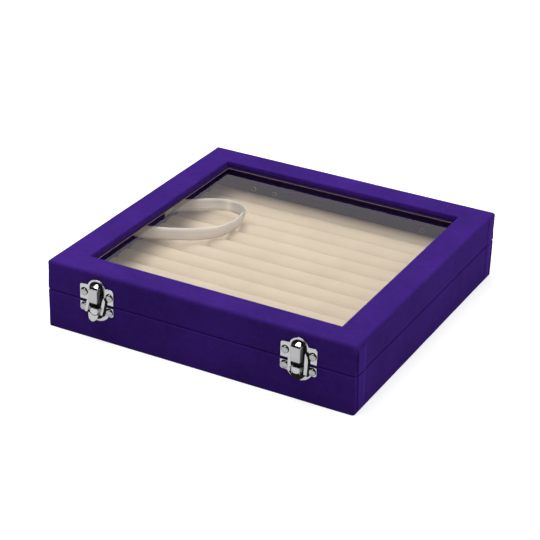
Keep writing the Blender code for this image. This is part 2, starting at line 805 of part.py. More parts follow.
def base_plate(name, side, material):
    obj = plate(name, base_plate_outline(), side, material)
    place = latch_place(side)
    root = METAL_GAP + PLATE_THICKNESS / 2
    outline = [
        (root, -LEVER_PIN_DROP - LUG_RADIUS),
        *arc(LEVER_PIN_OUT, -LEVER_PIN_DROP, LUG_RADIUS, -90, 90),
        (root, -LEVER_PIN_DROP + LUG_RADIUS),
    ]
    for end in (-1, 1):
        middle = end * (LUG_INNER + LUG_OUTER) / 2
        lug = outline_mesh(f"{name} lug", outline, LUG_THICKNESS, SIDEWAYS, (middle, 0, 0))
        join(obj, add_helper(f"{name} lug", lug, place))
    bore = rod_mesh(
        f"{name} bore", LUG_BORE, 2 * (LUG_OUTER + OVERRUN), SIDEWAYS, (0, -LEVER_PIN_OUT, -LEVER_PIN_DROP)
    )
    return cut(obj, add_helper(f"{name} bore", bore, place))


def lever_pin(name, side, material):
    mesh = rod_mesh(name, LEVER_PIN_RADIUS, 2 * LUG_OUTER, SIDEWAYS, (0, 0, 0))
    place = latch_place(side) + Vector((0, -LEVER_PIN_OUT, -LEVER_PIN_DROP))
    return add_piece(name, mesh, material, place)


def lever_flange_outline():
    """Side view of a flange: out from the front, up from the parting line, with eyes at both pivots."""
    eye = BAIL_STUD_RADIUS + PIN_CLEARANCE + EYE_WALL
    face_back = LEVER_FACE_OUT - LEVER_WALL / 2
    return [
        *arc(LEVER_PIN_OUT, -LEVER_PIN_DROP, eye, 90, 180, EAR_STEPS),
        *arc(BAIL_PIVOT_OUT, -BAIL_PIVOT_DROP, eye, 180, 270, EAR_STEPS),
        (LIP_ROOT_OUT + LIP_THICKNESS, -LIP_ROOT_DROP),
        (face_back, -LEVER_END_DROP + LEVER_HALF_WIDTH / 2),
        (face_back, -LEVER_PIN_DROP + eye),
    ]


def lever_face_outline():
    half = LEVER_HALF_WIDTH
    return [
        (half, -LEVER_TOP_DROP),
        (-half, -LEVER_TOP_DROP),
        *arc(0, -LEVER_END_DROP + half, half, 180, 360),
    ]


def lip_outline():
    """Side view of the turned-out lip: a quarter of an ellipse from its root to its tip, with a thickness."""
    run = LIP_TIP_OUT - LIP_ROOT_OUT
    fall = LIP_TIP_DROP - LIP_ROOT_DROP
    outer, inner = [], []
    for i in range(LIP_STEPS + 1):
        t = math.radians(90 * i / LIP_STEPS)
        out = LIP_ROOT_OUT + run * (1 - math.cos(t))
        up = -LIP_ROOT_DROP - fall * math.sin(t)
        outer.append((out, up))
        inner.append((out + LIP_THICKNESS * math.cos(t), up + LIP_THICKNESS * math.sin(t)))
    return outer + inner[::-1]


def lever(name, side, material):
    """A small channel: rounded face, two flanges with the pivots' eyes, and a lip turned out at the bottom."""
    axis = Vector((0, LEVER_PIN_OUT, LEVER_PIN_DROP))
    place = latch_place(side) - axis
    face_middle = -LEVER_FACE_OUT + LEVER_WALL / 2
    mesh = outline_mesh(name, lever_face_outline(), LEVER_WALL, FRONT, axis + Vector((0, face_middle, 0)))
    obj = add_piece(name, mesh, material, place)
    for end in (-1, 1):
        middle = end * (LEVER_HALF_WIDTH - LEVER_WALL / 2)
        flange = outline_mesh(
            f"{name} flange", lever_flange_outline(), LEVER_WALL, SIDEWAYS, axis + Vector((middle, 0, 0))
        )
        join(obj, add_helper(f"{name} flange", flange, place))
    lip = outline_mesh(f"{name} lip", lip_outline(), 2 * LIP_HALF_WIDTH, SIDEWAYS, axis)
    join(obj, add_helper(f"{name} lip", lip, place))
    for label, radius, out, drop in (
        ("pin eye", LEVER_PIN_RADIUS, LEVER_PIN_OUT, LEVER_PIN_DROP),
        ("bail eye", BAIL_STUD_RADIUS, BAIL_PIVOT_OUT, BAIL_PIVOT_DROP),
    ):
        length = 2 * (LEVER_HALF_WIDTH + OVERRUN)
        middle = axis + Vector((0, -out, -drop))
        eye = rod_mesh(f"{name} {label}", radius + PIN_CLEARANCE, length, SIDEWAYS, middle)
        cut(obj, add_helper(f"{name} {label}", eye, place))
    return obj


def bail_frame_outline():
    """Front view of the bail's sheet: legs, feet beside the raised face, and the arch round the nose."""
    leg, outer, foot = BAIL_LEG_INNER, BAIL_LEG_OUTER, BAIL_FOOT_INNER
    centre = LID_ARCH_TOP - outer
    left = [(-leg, -BAIL_LEG_DROP), (-leg, BAIL_FOOT_BOTTOM), (-foot, BAIL_FOOT_BOTTOM)]
    left += [(-foot, BAIL_FOOT_TOP), (-leg, BAIL_FOOT_TOP)]
    right = [(-a, b) for a, b in reversed(left)]
    return (
        [(-outer, -BAIL_LEG_DROP)]
        + left
        + arc(0, centre, leg, 180, 0)
        + right
        + [(outer, -BAIL_LEG_DROP)]
        + arc(0, centre, outer, 0, 180)
    )


def bail_channel_outline():
    """Plan of the raised face: across, and out from the front."""
    half, wall = LEVER_HALF_WIDTH, LEVER_WALL
    return [
        (-half, BAIL_WALL_ROOT),
        (-half + wall, BAIL_WALL_ROOT),
        (-half + wall, BAIL_FACE_OUT - wall),
        (half - wall, BAIL_FACE_OUT - wall),
        (half - wall, BAIL_WALL_ROOT),
        (half, BAIL_WALL_ROOT),
        (half, BAIL_FACE_OUT),
        (-half, BAIL_FACE_OUT),
    ]


def lean_out(mesh):
    """Leans the bail's sheet outwards in proportion to the height above its feet."""
    for vert in mesh.vertices:
        vert.co.y -= (vert.co.z - BAIL_PIVOT_DROP + BAIL_LEG_DROP) * BAIL_LEAN
    mesh.update()


def bail(name, side, material):
    """The loop that draws the lid down: a leaning sheet frame, a raised channel face and two pivot studs."""
    axis = Vector((0, BAIL_PIVOT_OUT, BAIL_PIVOT_DROP))
    place = latch_place(side) - axis
    middle = axis + Vector((0, -BAIL_LEG_OUT - BAIL_SHEET / 2, 0))
    mesh = outline_mesh(name, bail_frame_outline(), BAIL_SHEET, FRONT, middle)
    lean_out(mesh)
    obj = add_piece(name, mesh, material, place)
    height = BAIL_FACE_TOP - BAIL_FACE_BOTTOM
    channel = outline_mesh(
        f"{name} face",
        bail_channel_outline(),
        height,
        UPRIGHT,
        axis + Vector((0, 0, BAIL_FACE_BOTTOM + height / 2)),
    )
    join(obj, add_helper(f"{name} face", channel, place))
    for end in (-1, 1):
        length = (BAIL_LEG_INNER + BAIL_LEG_OUTER) / 2 - STUD_END
        across = end * (STUD_END + length / 2)
        stud = rod_mesh(f"{name} stud", BAIL_STUD_RADIUS, length, SIDEWAYS, (across, 0, 0))
        join(obj, add_helper(f"{name} stud", stud, place))
    return obj


def latch_rivet(name, side, end, height, material):
    mesh = rivet_mesh(name, PLATE_OUT + METAL_GAP, HEAD_HEIGHT, -WALL_THROUGH - METAL_GAP, FRONT, (0, 0, 0))
    place = latch_place(side) + Vector((end * LATCH_RIVET_OFFSET, 0, height))
    return add_piece(name, mesh, material, place)


def plate_holes(obj, side, height):
    """Clearance holes for a plate's two rivets."""
    places = [latch_place(side) + Vector((end * LATCH_RIVET_OFFSET, 0, height)) for end in (-1, 1)]
    radius = SHANK_RADIUS + SHANK_CLEARANCE
    cut(obj, rods_helper(f"{obj.name} holes", radius, 2 * (PLATE_OUT + OVERRUN), FRONT, places))


def smooth_route(points, steps):
    """A Catmull-Rom curve through the points."""
    padded = [2 * points[0] - points[1], *points, 2 * points[-1] - points[-2]]
    route = []
    for a, b, c, d in zip(padded, padded[1:], padded[2:], padded[3:]):
        for i in range(steps):
            t = i / steps
            route.append(
                (2 * b + (c - a) * t + (2 * a - 5 * b + 4 * c - d) * t**2 + (3 * b - a - 3 * c + d) * t**3) / 2
            )
    return route + [points[-1]]


def ribbon_stations():
    """Each station of the ribbon: plan place, height of its lower edge and its width there."""
    face = INNER - SEAT_GAP - RIBBON_THICKNESS / 2
    ends = (Vector((-face, RIBBON_LID_END_SHARE * INNER)), Vector((-face, RIBBON_BASE_END_SHARE * INNER)))
    points = [ends[0], *(Vector((a * INNER, b * INNER)) for a, b in RIBBON_ROUTE_SHARES), ends[1]]
    route = smooth_route(points, ROUTE_STEPS)
    steps = [0.0]
    for a, b in zip(route, route[1:]):
        steps.append(steps[-1] + (b - a).length)
    stations = []
    for point, run in zip(route, steps):
        share = run / steps[-1]
        fall = max(0.0, 1 - share / RIBBON_FALL_SHARE)
        taper = max(0.0, 1 - (1 - share) / RIBBON_TAPER_SHARE)
        width = RIBBON_WIDTH + (RIBBON_BASE_WIDTH - RIBBON_WIDTH) * taper
        stations.append((point, RIBBON_REST + RIBBON_LID_RISE * fall, width))
    return stations


def ribbon_stay(material):
    """The ribbon as it lies in the closed box, standing on its edge over the rolls."""
    bm = bmesh.new()
    lower = [bm.verts.new((p.x, p.y, low)) for p, low, _ in ribbon_stations()]
    edges = [bm.edges.new(pair) for pair in zip(lower, lower[1:])]
    made = bmesh.ops.extrude_edge_only(bm, edges=edges)["geom"]
    upper = [g for g in made if isinstance(g, bmesh.types.BMVert)]
    widths = {(round(p.x, 7), round(p.y, 7)): width for p, _, width in ribbon_stations()}
    for vert in upper:
        vert.co.z += widths[(round(vert.co.x, 7), round(vert.co.y, 7))]
    mesh = bpy.data.meshes.new("ribbon_stay")
    bm.to_mesh(mesh)
    bm.free()
    obj = add_piece("ribbon_stay", mesh, material)
    sheet = obj.modifiers.new("thickness", "SOLIDIFY")
    sheet.thickness = RIBBON_THICKNESS
    sheet.offset = 0.0
    return obj


def build_base(velvet, lining, board, suede, holes):
    wide = LINING_OUTER
    block("bottom_board", (-wide, -wide, BOARD_BOTTOM), (wide, wide, FLOOR_TOP), board)
    underside_sheet(flocked_sheet())
    front, back, _, _ = ring_walls("base", BOARD_BOTTOM, BASE_BOARD_TOP, board)
    cover = base_velvet(velvet)
    inside = square_ring("base_lining", INNER, LINING_OUTER, FLOOR_TOP + SEAT_GAP, BASE_BOARD_TOP, lining)
    for piece in (front, back, cover, inside):
        cut(piece, holes)
    for index in range(ROLL_COUNT):
        ring_roll(index, suede)
    front_ledge(suede)


def build_lid(velvet, lining, board, holes):
    front, back, left, right = ring_walls("lid", LID_BOARD_BOTTOM, LID_WALL_TOP, board)
    cover = lid_velvet(velvet)
    rails = [frame_rail(side, turns, board) for turns, side in enumerate(("front", "right", "back", "left"))]
    wide = LINING_OUTER
    pane = block("glass_pane", (-wide, -wide, GLASS_BOTTOM), (wide, wide, GLASS_TOP), clear_glass())
    gasket = square_ring(
        "glass_gasket", WINDOW - GASKET_SHOWING, LINING_OUTER, GASKET_BOTTOM, GASKET_TOP, brown_card()
    )
    inside = square_ring("lid_lining", INNER, LINING_OUTER, LID_BOARD_BOTTOM, LINING_TOP, lining)
    for piece in (front, back, cover, inside):
        cut(piece, holes)
    return [front, back, left, right, cover, *rails, pane, gasket, inside]


def build_hinge(label, side, lid_axis, metal):
    hinge_leaf(f"{label}_hinge_base_leaf", side, -1, metal)
    hinge_pin(f"{label}_hinge_pin", side, metal)
    carry([hinge_leaf(f"{label}_hinge_lid_leaf", side, 1, metal)], lid_axis)


def build_latch(label, side, lid_axis, metal):
    upper = lid_plate(f"{label}_latch_lid_plate", side, metal)
    lower = base_plate(f"{label}_latch_base_plate", side, metal)
    plate_holes(upper, side, LID_RIVET_HEIGHT)
    plate_holes(lower, side, -BASE_RIVET_DROP)
    lever_pin(f"{label}_latch_lever_pin", side, metal)
    lid_pieces = [upper]
    for hand, end in (("left", -1), ("right", 1)):
        lid_pieces.append(
            latch_rivet(f"{label}_latch_upper_{hand}_rivet", side, end, LID_RIVET_HEIGHT, metal)
        )
        latch_rivet(f"{label}_latch_lower_{hand}_rivet", side, end, -BASE_RIVET_DROP, metal)
    carry(lid_pieces, lid_axis)
    place = latch_place(side)
    lever_axis = add_axis(f"{label} lever axis", place + Vector((0, -LEVER_PIN_OUT, -LEVER_PIN_DROP)))
    bail_place = place + Vector((0, -BAIL_PIVOT_OUT, -BAIL_PIVOT_DROP))
    bail_axis = add_axis(f"{label} bail axis", bail_place, lever_axis)
    carry([lever(f"{label}_latch_lever", side, metal)], lever_axis)
    carry([bail(f"{label}_latch_bail", side, metal)], bail_axis)


def build():
    velvet, lining, board, metal = purple_velvet(), dark_lining(), fibreboard(), chrome()
    base_holes = rivet_holes(
        "base rivet holes", hinge_rivet_places(-1) + latch_rivet_places(-BASE_RIVET_DROP)
    )
    lid_holes = rivet_holes("lid rivet holes", hinge_rivet_places(1) + latch_rivet_places(LID_RIVET_HEIGHT))
    lid_axis = add_axis("lid axis", (0, HALF + HINGE_OUT, PARTING))
    build_base(velvet, lining, board, cream_suede(), base_holes)
    carry(build_lid(velvet, lining, board, lid_holes), lid_axis)
    for label, side in (("left", -1), ("right", 1)):
        build_hinge(label, side, lid_axis, metal)
        build_latch(label, side, lid_axis, metal)
    ribbon_stay(satin_ribbon())


clear_scene()
PARTS = new_collection("glass-top ring box")
CUTTERS = new_collection("cutters")
build()
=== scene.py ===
"""Looks for the glass-topped velvet ring box: camera, light, cloth, foam rolls, ribbon, glass and chrome."""

import math

import bmesh
import bpy
import numpy as np
from mathutils import Matrix, Vector, noise


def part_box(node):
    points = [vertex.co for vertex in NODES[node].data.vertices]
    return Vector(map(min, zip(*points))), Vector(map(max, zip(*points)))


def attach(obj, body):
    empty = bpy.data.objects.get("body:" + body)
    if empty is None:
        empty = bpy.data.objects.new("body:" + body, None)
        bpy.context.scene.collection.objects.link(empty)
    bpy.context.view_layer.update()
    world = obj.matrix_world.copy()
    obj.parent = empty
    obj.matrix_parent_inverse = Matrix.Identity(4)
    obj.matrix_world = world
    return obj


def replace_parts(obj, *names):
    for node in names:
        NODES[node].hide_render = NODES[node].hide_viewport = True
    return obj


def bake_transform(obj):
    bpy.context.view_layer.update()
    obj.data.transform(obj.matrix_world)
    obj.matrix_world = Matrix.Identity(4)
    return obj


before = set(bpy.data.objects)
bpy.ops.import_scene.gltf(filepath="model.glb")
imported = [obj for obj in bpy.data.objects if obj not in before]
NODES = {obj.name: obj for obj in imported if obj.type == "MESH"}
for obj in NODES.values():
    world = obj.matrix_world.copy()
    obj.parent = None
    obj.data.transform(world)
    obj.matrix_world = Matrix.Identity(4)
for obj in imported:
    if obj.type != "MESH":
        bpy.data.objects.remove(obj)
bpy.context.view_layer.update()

MM = 0.001
WHITE = (1.0, 1.0, 1.0)


def heights(node):
    """A CAD node's lowest and highest point, in millimetres."""
    low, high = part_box(node)
    return round(low[2] / MM, 2), round(high[2] / MM, 2)


def half_width(node):
    """How far a CAD node reaches to the right, in millimetres."""
    return round(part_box(node)[1][0] / MM, 2)


# Sizes of the box, in millimetres
HALF = half_width("lid_velvet_cover")
BASE_TOP = heights("base_velvet_cover")[1]
LID_BOTTOM, TOP = heights("lid_velvet_cover")
PARTING = (BASE_TOP + LID_BOTTOM) / 2
ROLL_TOP = heights("ring_roll_01")[1]
LEDGE_TOP = heights("front_ledge")[1]
LINING_THICK = 0.6
INNER = half_width("base_lining") - LINING_THICK
WINDOW = 95.8
LIP_BOTTOM = 45.6

# The cloth stands a little off the flat sides of the CAD, and its edges are rounded
COVER = HALF + 0.6
COVER_RISE = 0.4
TOP_RADIUS = 2.3
UPRIGHT_RADIUS = 2.2


# Helpers


def smooth_step(low, high, value):
    share = min(1.0, max(0.0, (value - low) / (high - low)))
    return share * share * (3 - 2 * share)


def bell(value, middle, spread):
    return math.exp(-(((value - middle) / spread) ** 2))


def arc(across, up, radius, start, end, steps=4):
    """Points round a middle, by angles in degrees from the right upwards."""
    made = []
    for i in range(steps + 1):
        t = math.radians(start + (end - start) * i / steps)
        made.append((across + radius * math.cos(t), up + radius * math.sin(t)))
    return made


def lump(place, height, size, seed):
    """Smooth noise of a height either way, whose lumps are about size millimetres."""
    return height * noise.noise(Vector(place) / size + Vector((seed, seed * 1.7, -seed)))


def add_object(name, bm, material, body=None, smooth=True):
    """Makes an object from a bmesh whose points are in millimetres."""
    bmesh.ops.transform(bm, matrix=Matrix.Scale(MM, 4), verts=bm.verts)
    bmesh.ops.recalc_face_normals(bm, faces=bm.faces)
    mesh = bpy.data.meshes.new(name)
    bm.to_mesh(mesh)
    bm.free()
    mesh.materials.append(material)
    if smooth:
        mesh.shade_smooth()
    obj = bpy.data.objects.new(name, mesh)
    bpy.context.scene.collection.objects.link(obj)
    if body:
        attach(obj, body)
    return obj


def skin(bm, rows, closed_rows=True):
    """Faces between rings of points; the last ring joins the first, or the ends get a face each."""
    made = [[bm.verts.new(p) for p in row] for row in rows]
    count = len(made[0])
    following = made[1:] + ([made[0]] if closed_rows else [])
    for upper, lower in zip(made, following):
        for i in range(count):
            j = (i + 1) % count
            bm.faces.new((upper[i], upper[j], lower[j], lower[i]))
    if not closed_rows:
        bm.faces.new(made[0])
        bm.faces.new(made[-1])
    return made


# Materials


class Nodes:
    """The node tree of a material or world, with short ways to add to it."""

    def __init__(self, owner):
        owner.use_nodes = True
        self.tree = owner.node_tree

    def node(self, kind, **values):
        made = self.tree.nodes.new(kind)
        for key, value in values.items():
            socket = made.inputs.get(key.replace("_", " "))
            if socket:
                self.feed(value, socket)
            else:
                setattr(made, key, value)
        return made

    def feed(self, value, socket):
        """Links an output to a socket, or sets the socket to a number or colour."""
        if isinstance(value, bpy.types.NodeSocket):
            self.tree.links.new(value, socket)
        else:
            socket.default_value = (*value, 1.0) if isinstance(value, tuple) else value

    def spread(self, value, before, after, kind="LINEAR"):
        """A number that runs over the range before, moved to the range after."""
        made = self.node("ShaderNodeMapRange", interpolation_type=kind, Value=value)
        for key, end in zip(("From Min", "From Max", "To Min", "To Max"), (*before, *after)):
            made.inputs[key].default_value = end
        return made.outputs["Result"]

    def worked(self, made, feeds, output=0):
        """An output of a node once the sockets numbered in feeds are fed."""
        for index, value in feeds.items():
            self.feed(value, made.inputs[index])
        return made.outputs[output]

    def maths(self, operation, first, second):
        return self.worked(self.node("ShaderNodeMath", operation=operation), {0: first, 1: second})

    def either(self, share, first, second):
        """The first number where share is 0, the second where it is 1."""
        return self.worked(self.node("ShaderNodeMix"), {0: share, 2: first, 3: second})


class Shader(Nodes):
    """A material with a Principled shader, and short ways to texture it."""

    def __init__(self, name, **values):
        self.material = bpy.data.materials.new(name)
        super().__init__(self.material)
        self.shader = self.tree.nodes["Principled BSDF"]
        for key, value in values.items():
            self.feed(value, self.shader.inputs[key.replace("_", " ")])

    def place(self, scale=(1.0, 1.0, 1.0), uv=False):
        coords = self.node("ShaderNodeTexCoord")
        mapping = self.node("ShaderNodeMapping")
        mapping.inputs["Scale"].default_value = scale
        self.feed(coords.outputs["UV" if uv else "Object"], mapping.inputs["Vector"])
        return mapping.outputs["Vector"]

    def noise(self, size, detail=2.0, rough=0.5):
        """Noise whose lumps are about size millimetres."""
        values = {"Scale": 1 / (size * MM), "Detail": detail, "Roughness": rough, "Vector": self.place()}
        return self.node("ShaderNodeTexNoise", **values).outputs["Fac"]

    def ramp(self, value, low, high):
        """Colours between two ends, each a place and a colour or a grey level."""
        made = self.node("ShaderNodeValToRGB", Fac=value)
        for element, (at, colour) in zip(made.color_ramp.elements, (low, high)):
            element.position = at
            element.color = (*(colour if isinstance(colour, tuple) else (colour,) * 3), 1.0)
        return made.outputs["Color"]

    def times(self, first, second):
        """Two colours multiplied."""
        made = self.node("ShaderNodeMix", data_type="RGBA", blend_type="MULTIPLY")
        return self.worked(made, {0: 1.0, 6: first, 7: second}, 2)

    def scaled(self, colour, factor):
        """A colour times a number from another node."""
        return self.worked(self.node("ShaderNodeVectorMath", operation="SCALE", Scale=factor), {0: colour})

    def painted(self, name, low, high):
        """A number stored on the mesh from -1 to 1, spread from low to high."""
        stored = self.node("ShaderNodeAttribute", attribute_name=name)
        return self.spread(stored.outputs["Fac"], (-1.0, 1.0), (low, high))

    def colour(self, value):
        self.feed(value, self.shader.inputs["Base Color"])

    def mottled(self, patches, dark, light):
        """Colours the material in patches of a noise, from a dark to a light tone."""
        self.colour(self.ramp(self.noise(*patches), (0.3, dark), (0.7, light)))

    def bump(self, *layers):
        """Stacks bumps: each is a height output and how many millimetres its full range is."""
        last = None
        for value, depth in layers:
            made = self.node("ShaderNodeBump", Strength=1.0, Distance=depth * MM, Height=value)
            if last:
                self.feed(last, made.inputs["Normal"])
            last = made.outputs["Normal"]
        self.feed(last, self.shader.inputs["Normal"])


def purple_velvet():
    sheen = {"Sheen_Weight": 0.5, "Sheen_Roughness": 0.38, "Sheen_Tint": (0.27, 0.10, 1.0)}
    m = Shader("purple_velvet", Roughness=0.92, Specular_IOR_Level=0.05, **sheen)
    broad = m.ramp(m.noise(34, 3.0), (0.3, (0.0280, 0.0083, 0.121)), (0.7, (0.0395, 0.0115, 0.165)))
    patches = m.ramp(m.noise(4.5, 3.0, 0.6), (0.3, 0.84), (0.7, 1.0))
    pile = m.ramp(m.noise(1.1, 3.0, 0.7), (0.25, 0.76), (0.75, 1.0))
    # The painted light tone stored on the mesh: painted shade in the corners' slits, painted highlights on
    # folds, edges and gathered cloth
    m.colour(m.scaled(m.times(m.times(broad, patches), pile), m.painted("painted_light", 0.15, 2.05)))
    m.bump((m.noise(0.7, 2.0, 0.6), 0.12), (m.noise(9.0), 0.25))
    return m.material


def dark_velvet():
    sheen = {"Sheen_Weight": 0.2, "Sheen_Roughness": 0.4, "Sheen_Tint": (0.3, 0.2, 0.7)}
    m = Shader("dark_lining", Roughness=0.95, Specular_IOR_Level=0.1, **sheen)
    m.mottled((8, 3.0), (0.013, 0.006, 0.044), (0.021, 0.009, 0.065))
    m.bump((m.noise(0.7, 2.0, 0.6), 0.1))
    return m.material


def cream_suede():
    sheen = {"Sheen_Weight": 0.12, "Sheen_Roughness": 0.5, "Sheen_Tint": (1.0, 0.93, 0.84)}
    m = Shader("cream_suede", Roughness=0.95, Specular_IOR_Level=0.15, **sheen)
    broad = m.ramp(m.noise(26, 3.0), (0.3, (0.550, 0.440, 0.326)), (0.7, (0.594, 0.480, 0.361)))
    fibre = m.ramp(m.noise(0.9, 3.0, 0.65), (0.25, 0.93), (0.75, 1.0))
    m.colour(m.times(broad, fibre))
    m.bump((m.noise(0.8, 2.0, 0.6), 0.08), (m.noise(7.0), 0.2))
    return m.material


def satin():
    sheen = {"Sheen_Weight": 0.15, "Sheen_Roughness": 0.3, "Sheen_Tint": WHITE}
    m = Shader("satin_ribbon", Roughness=0.42, Specular_IOR_Level=0.45, **sheen)
    weft_place = m.place((6.0, 260.0, 1.0), uv=True)
    weft = m.node("ShaderNodeTexWave", Scale=1.0, Distortion=0.6, Detail=1.0, Vector=weft_place)
    thread_place = m.place((7.0, 2.0, 1.0), uv=True)
    threads = m.node("ShaderNodeTexNoise", Scale=1.0, Detail=2.0, Vector=thread_place)
    broad = m.ramp(m.noise(14), (0.3, (0.84, 0.79, 0.735)), (0.7, (0.91, 0.86, 0.80)))
    streaks = m.ramp(threads.outputs["Fac"], (0.35, 0.87), (0.65, 1.0))
    # The painted light tone stored on the mesh: painted highlights on the crease and front run, painted shade
    # beside the crease and at the ends
    m.colour(m.scaled(m.times(broad, streaks), m.painted("painted_light", 0.74, 1.26)))
    m.bump((weft.outputs["Fac"], 0.02))
    return m.material


def chrome(name="chrome", level=0.70, rough=0.10):
    """Polished metal with faint waves; its roughness runs a little above rough."""
    m = Shader(name, Base_Color=(level, level, level * 1.01), Metallic=1.0)
    m.feed(m.ramp(m.noise(3.0, 3.0), (0.3, rough), (0.7, rough + 0.09)), m.shader.inputs["Roughness"])
    m.bump((m.noise(5.0, 1.0), 0.03), (m.noise(0.5), 0.003))
    return m.material


def painted_shade_metal():
    """Painted shade: a dull, nearly black finish put in the latches' hollows, gaps and openings, where shade
    falls.
    """
    m = Shader("painted_shade_metal", Roughness=0.55, Specular_IOR_Level=0.15)
    m.mottled((1.5, 3.0), (0.006, 0.006, 0.007), (0.016, 0.015, 0.018))
    m.bump((m.noise(0.6), 0.02))
    return m.material


def clear_glass():
    """Lets light straight through and mirrors by angle, so the box is lit through the pane."""
    made = bpy.data.materials.new("clear_glass")
    n = Nodes(made)
    n.tree.nodes.clear()
    through = n.node("ShaderNodeBsdfTransparent", Color=(0.97, 0.98, 0.975))
    mirror = n.node("ShaderNodeBsdfGlossy", Roughness=0.0, Color=(1.0, 0.93, 1.0))
    angle = n.node("ShaderNodeFresnel", IOR=1.45)
    front = n.maths("SUBTRACT", 1.0, n.node("ShaderNodeNewGeometry").outputs["Backfacing"])
    mix = n.node("ShaderNodeMixShader", Fac=n.maths("MULTIPLY", angle.outputs["Fac"], front))
    surface = n.worked(mix, {1: through.outputs["BSDF"], 2: mirror.outputs["BSDF"]})
    n.node("ShaderNodeOutputMaterial", Surface=surface)
    return made


def fibreboard():
    m = Shader("fibreboard", Roughness=0.85)
    m.mottled((1.5, 4.0, 0.7), (0.30, 0.19, 0.10), (0.42, 0.29, 0.17))
    m.bump((m.noise(0.6), 0.05))
    return m.material


def brown_card():
    m = Shader("brown_card", Roughness=0.7)
    m.mottled((2.0, 3.0), (0.15, 0.10, 0.055), (0.21, 0.145, 0.085))
    m.bump((m.noise(0.5), 0.03))
    return m.material


def flocked_card():
    m = Shader("flocked_sheet", Roughness=0.97, Specular_IOR_Level=0.1, Sheen_Weight=0.2)
    m.mottled((1.0, 4.0, 0.7), (0.012, 0.011, 0.016), (0.028, 0.026, 0.034))
    m.bump((m.noise(0.6), 0.12))
    return m.material


# Camera, floor and light

# The camera as recovered from the box's edges, in radians and millimetres
PHOTO_SIDE = 540
FOCAL_PIXELS = 1743.878
SENSOR = 36.0
AZIMUTH = 0.47664
ELEVATION = 0.46996
ROLL = 0.03268
DISTANCE = 1251.768
SHIFT_RIGHT = -5.36178
SHIFT_UP = 20.43296


def add_camera():
    flat = math.cos(ELEVATION)
    back = Vector((math.sin(AZIMUTH) * flat, -math.cos(AZIMUTH) * flat, math.sin(ELEVATION)))
    level = Vector((0, 0, 1)).cross(back).normalized()
    upright = back.cross(level)
    right = math.cos(ROLL) * level + math.sin(ROLL) * upright
    up = math.cos(ROLL) * upright - math.sin(ROLL) * level
    data = bpy.data.cameras.new("camera")
    data.sensor_width = SENSOR
    data.lens = FOCAL_PIXELS / PHOTO_SIDE * SENSOR
    data.clip_start = 0.05
    data.clip_end = 20.0
    obj = bpy.data.objects.new("camera", data)
    bpy.context.scene.collection.objects.link(obj)
    place = (SHIFT_RIGHT * right + SHIFT_UP * up + DISTANCE * back) * MM
    turn = Matrix((right, up, back)).transposed()
    obj.matrix_world = Matrix.Translation(place) @ turn.to_4x4()
    bpy.context.scene.camera = obj


# Each softbox: its direction from the box, its distance and side in metres, and its watts
SOFTBOXES = {
    "key": ((-0.30, 0.44, 0.84), 1.3, 0.34, 3.9),
    "overhead": ((-0.2, -0.05, 0.98), 0.95, 0.8, 10.0),
}
AIM_HEIGHT = 0.03
# The world as light: by height, with more from the right
AMBIENT_HEIGHT, AMBIENT_RIGHT = (0.19, 0.52), (0.0, 0.46)
# The world as mirrored: a dark front and a bright back
MIRRORED = (0.06, 0.81)
FLOOR_GREY, FLOOR_GLOW, FLOOR_MIRRORED, FLOOR_HALF = 0.52, 0.67, 0.03, 6.0


def add_softbox(name, toward, distance, side, power):
    """A square light that shines on the box from the direction toward."""
    data = bpy.data.lights.new(name, "AREA")
    data.shape = "RECTANGLE"
    data.size = side
    data.size_y = side
    data.energy = power
    obj = bpy.data.objects.new(name, data)
    bpy.context.scene.collection.objects.link(obj)
    direction = Vector(toward).normalized()
    obj.location = direction * distance + Vector((0, 0, AIM_HEIGHT))
    obj.rotation_mode = "QUATERNION"
    obj.rotation_quaternion = direction.to_track_quat("Z", "Y")


def add_world():
    world = bpy.data.worlds.new("studio")
    bpy.context.scene.world = world
    n = Nodes(world)
    surround = n.tree.nodes["Background"]
    n.feed(WHITE, surround.inputs["Color"])
    direction = n.node("ShaderNodeSeparateXYZ", Vector=n.node("ShaderNodeTexCoord").outputs["Generated"])
    mirrored = n.spread(direction.outputs["Y"], (-0.1, 0.35), MIRRORED, "SMOOTHSTEP")
    by_height = n.spread(direction.outputs["Z"], (0.0, 0.9), AMBIENT_HEIGHT)
    from_right = n.spread(direction.outputs["X"], (0.2, 1.0), AMBIENT_RIGHT)
    path = n.node("ShaderNodeLightPath").outputs
    level = n.either(path["Is Glossy Ray"], n.maths("ADD", by_height, from_right), mirrored)
    n.feed(n.either(path["Is Camera Ray"], level, 1.0), surround.inputs["Strength"])


def pale_floor():
    """It glows a little for the camera, so it looks white and keeps its shadow."""
    grey = (FLOOR_GREY,) * 3
    m = Shader("pale_floor", Base_Color=grey, Roughness=1.0, Specular_IOR_Level=0.0, Emission_Color=WHITE)
    path = m.node("ShaderNodeLightPath").outputs
    seen = m.maths("MULTIPLY", path["Is Camera Ray"], FLOOR_GLOW)
    mirrored = m.maths("MULTIPLY", path["Is Glossy Ray"], FLOOR_MIRRORED)
    m.feed(m.maths("ADD", seen, mirrored), m.shader.inputs["Emission Strength"])
    return m.material


def add_floor():
    bm = bmesh.new()
    bmesh.ops.create_grid(bm, x_segments=4, y_segments=4, size=FLOOR_HALF / MM)
    add_object("floor", bm, pale_floor(), smooth=False)


# Velvet covers

# Places of points along a side, close together where the cloth is folded
CORNER_MARKS = (
    0.0, 0.6, 1.2, 1.8, 2.3, 2.7, 3.0, 3.3, 3.6, 3.9, 4.3,
    5.0, 6.5, 8.5, 10.5, 12.0, 12.8, 13.5, 14.2, 15.0, 16.2, 18.0,
)
CORNER_STEPS, LONG_STEPS = 8, 30
SHARPEST_CORNER = 0.35


def side_marks():
    """Shares along a straight side, from -1 at one end to 1 at the other."""
    near = [-1 + mark / HALF for mark in CORNER_MARKS]
    first = near[-1]
    middle = [first + (-2 * first) * i / LONG_STEPS for i in range(1, LONG_STEPS)]
    return near + middle + [-mark for mark in reversed(near)]


MARKS = side_marks()


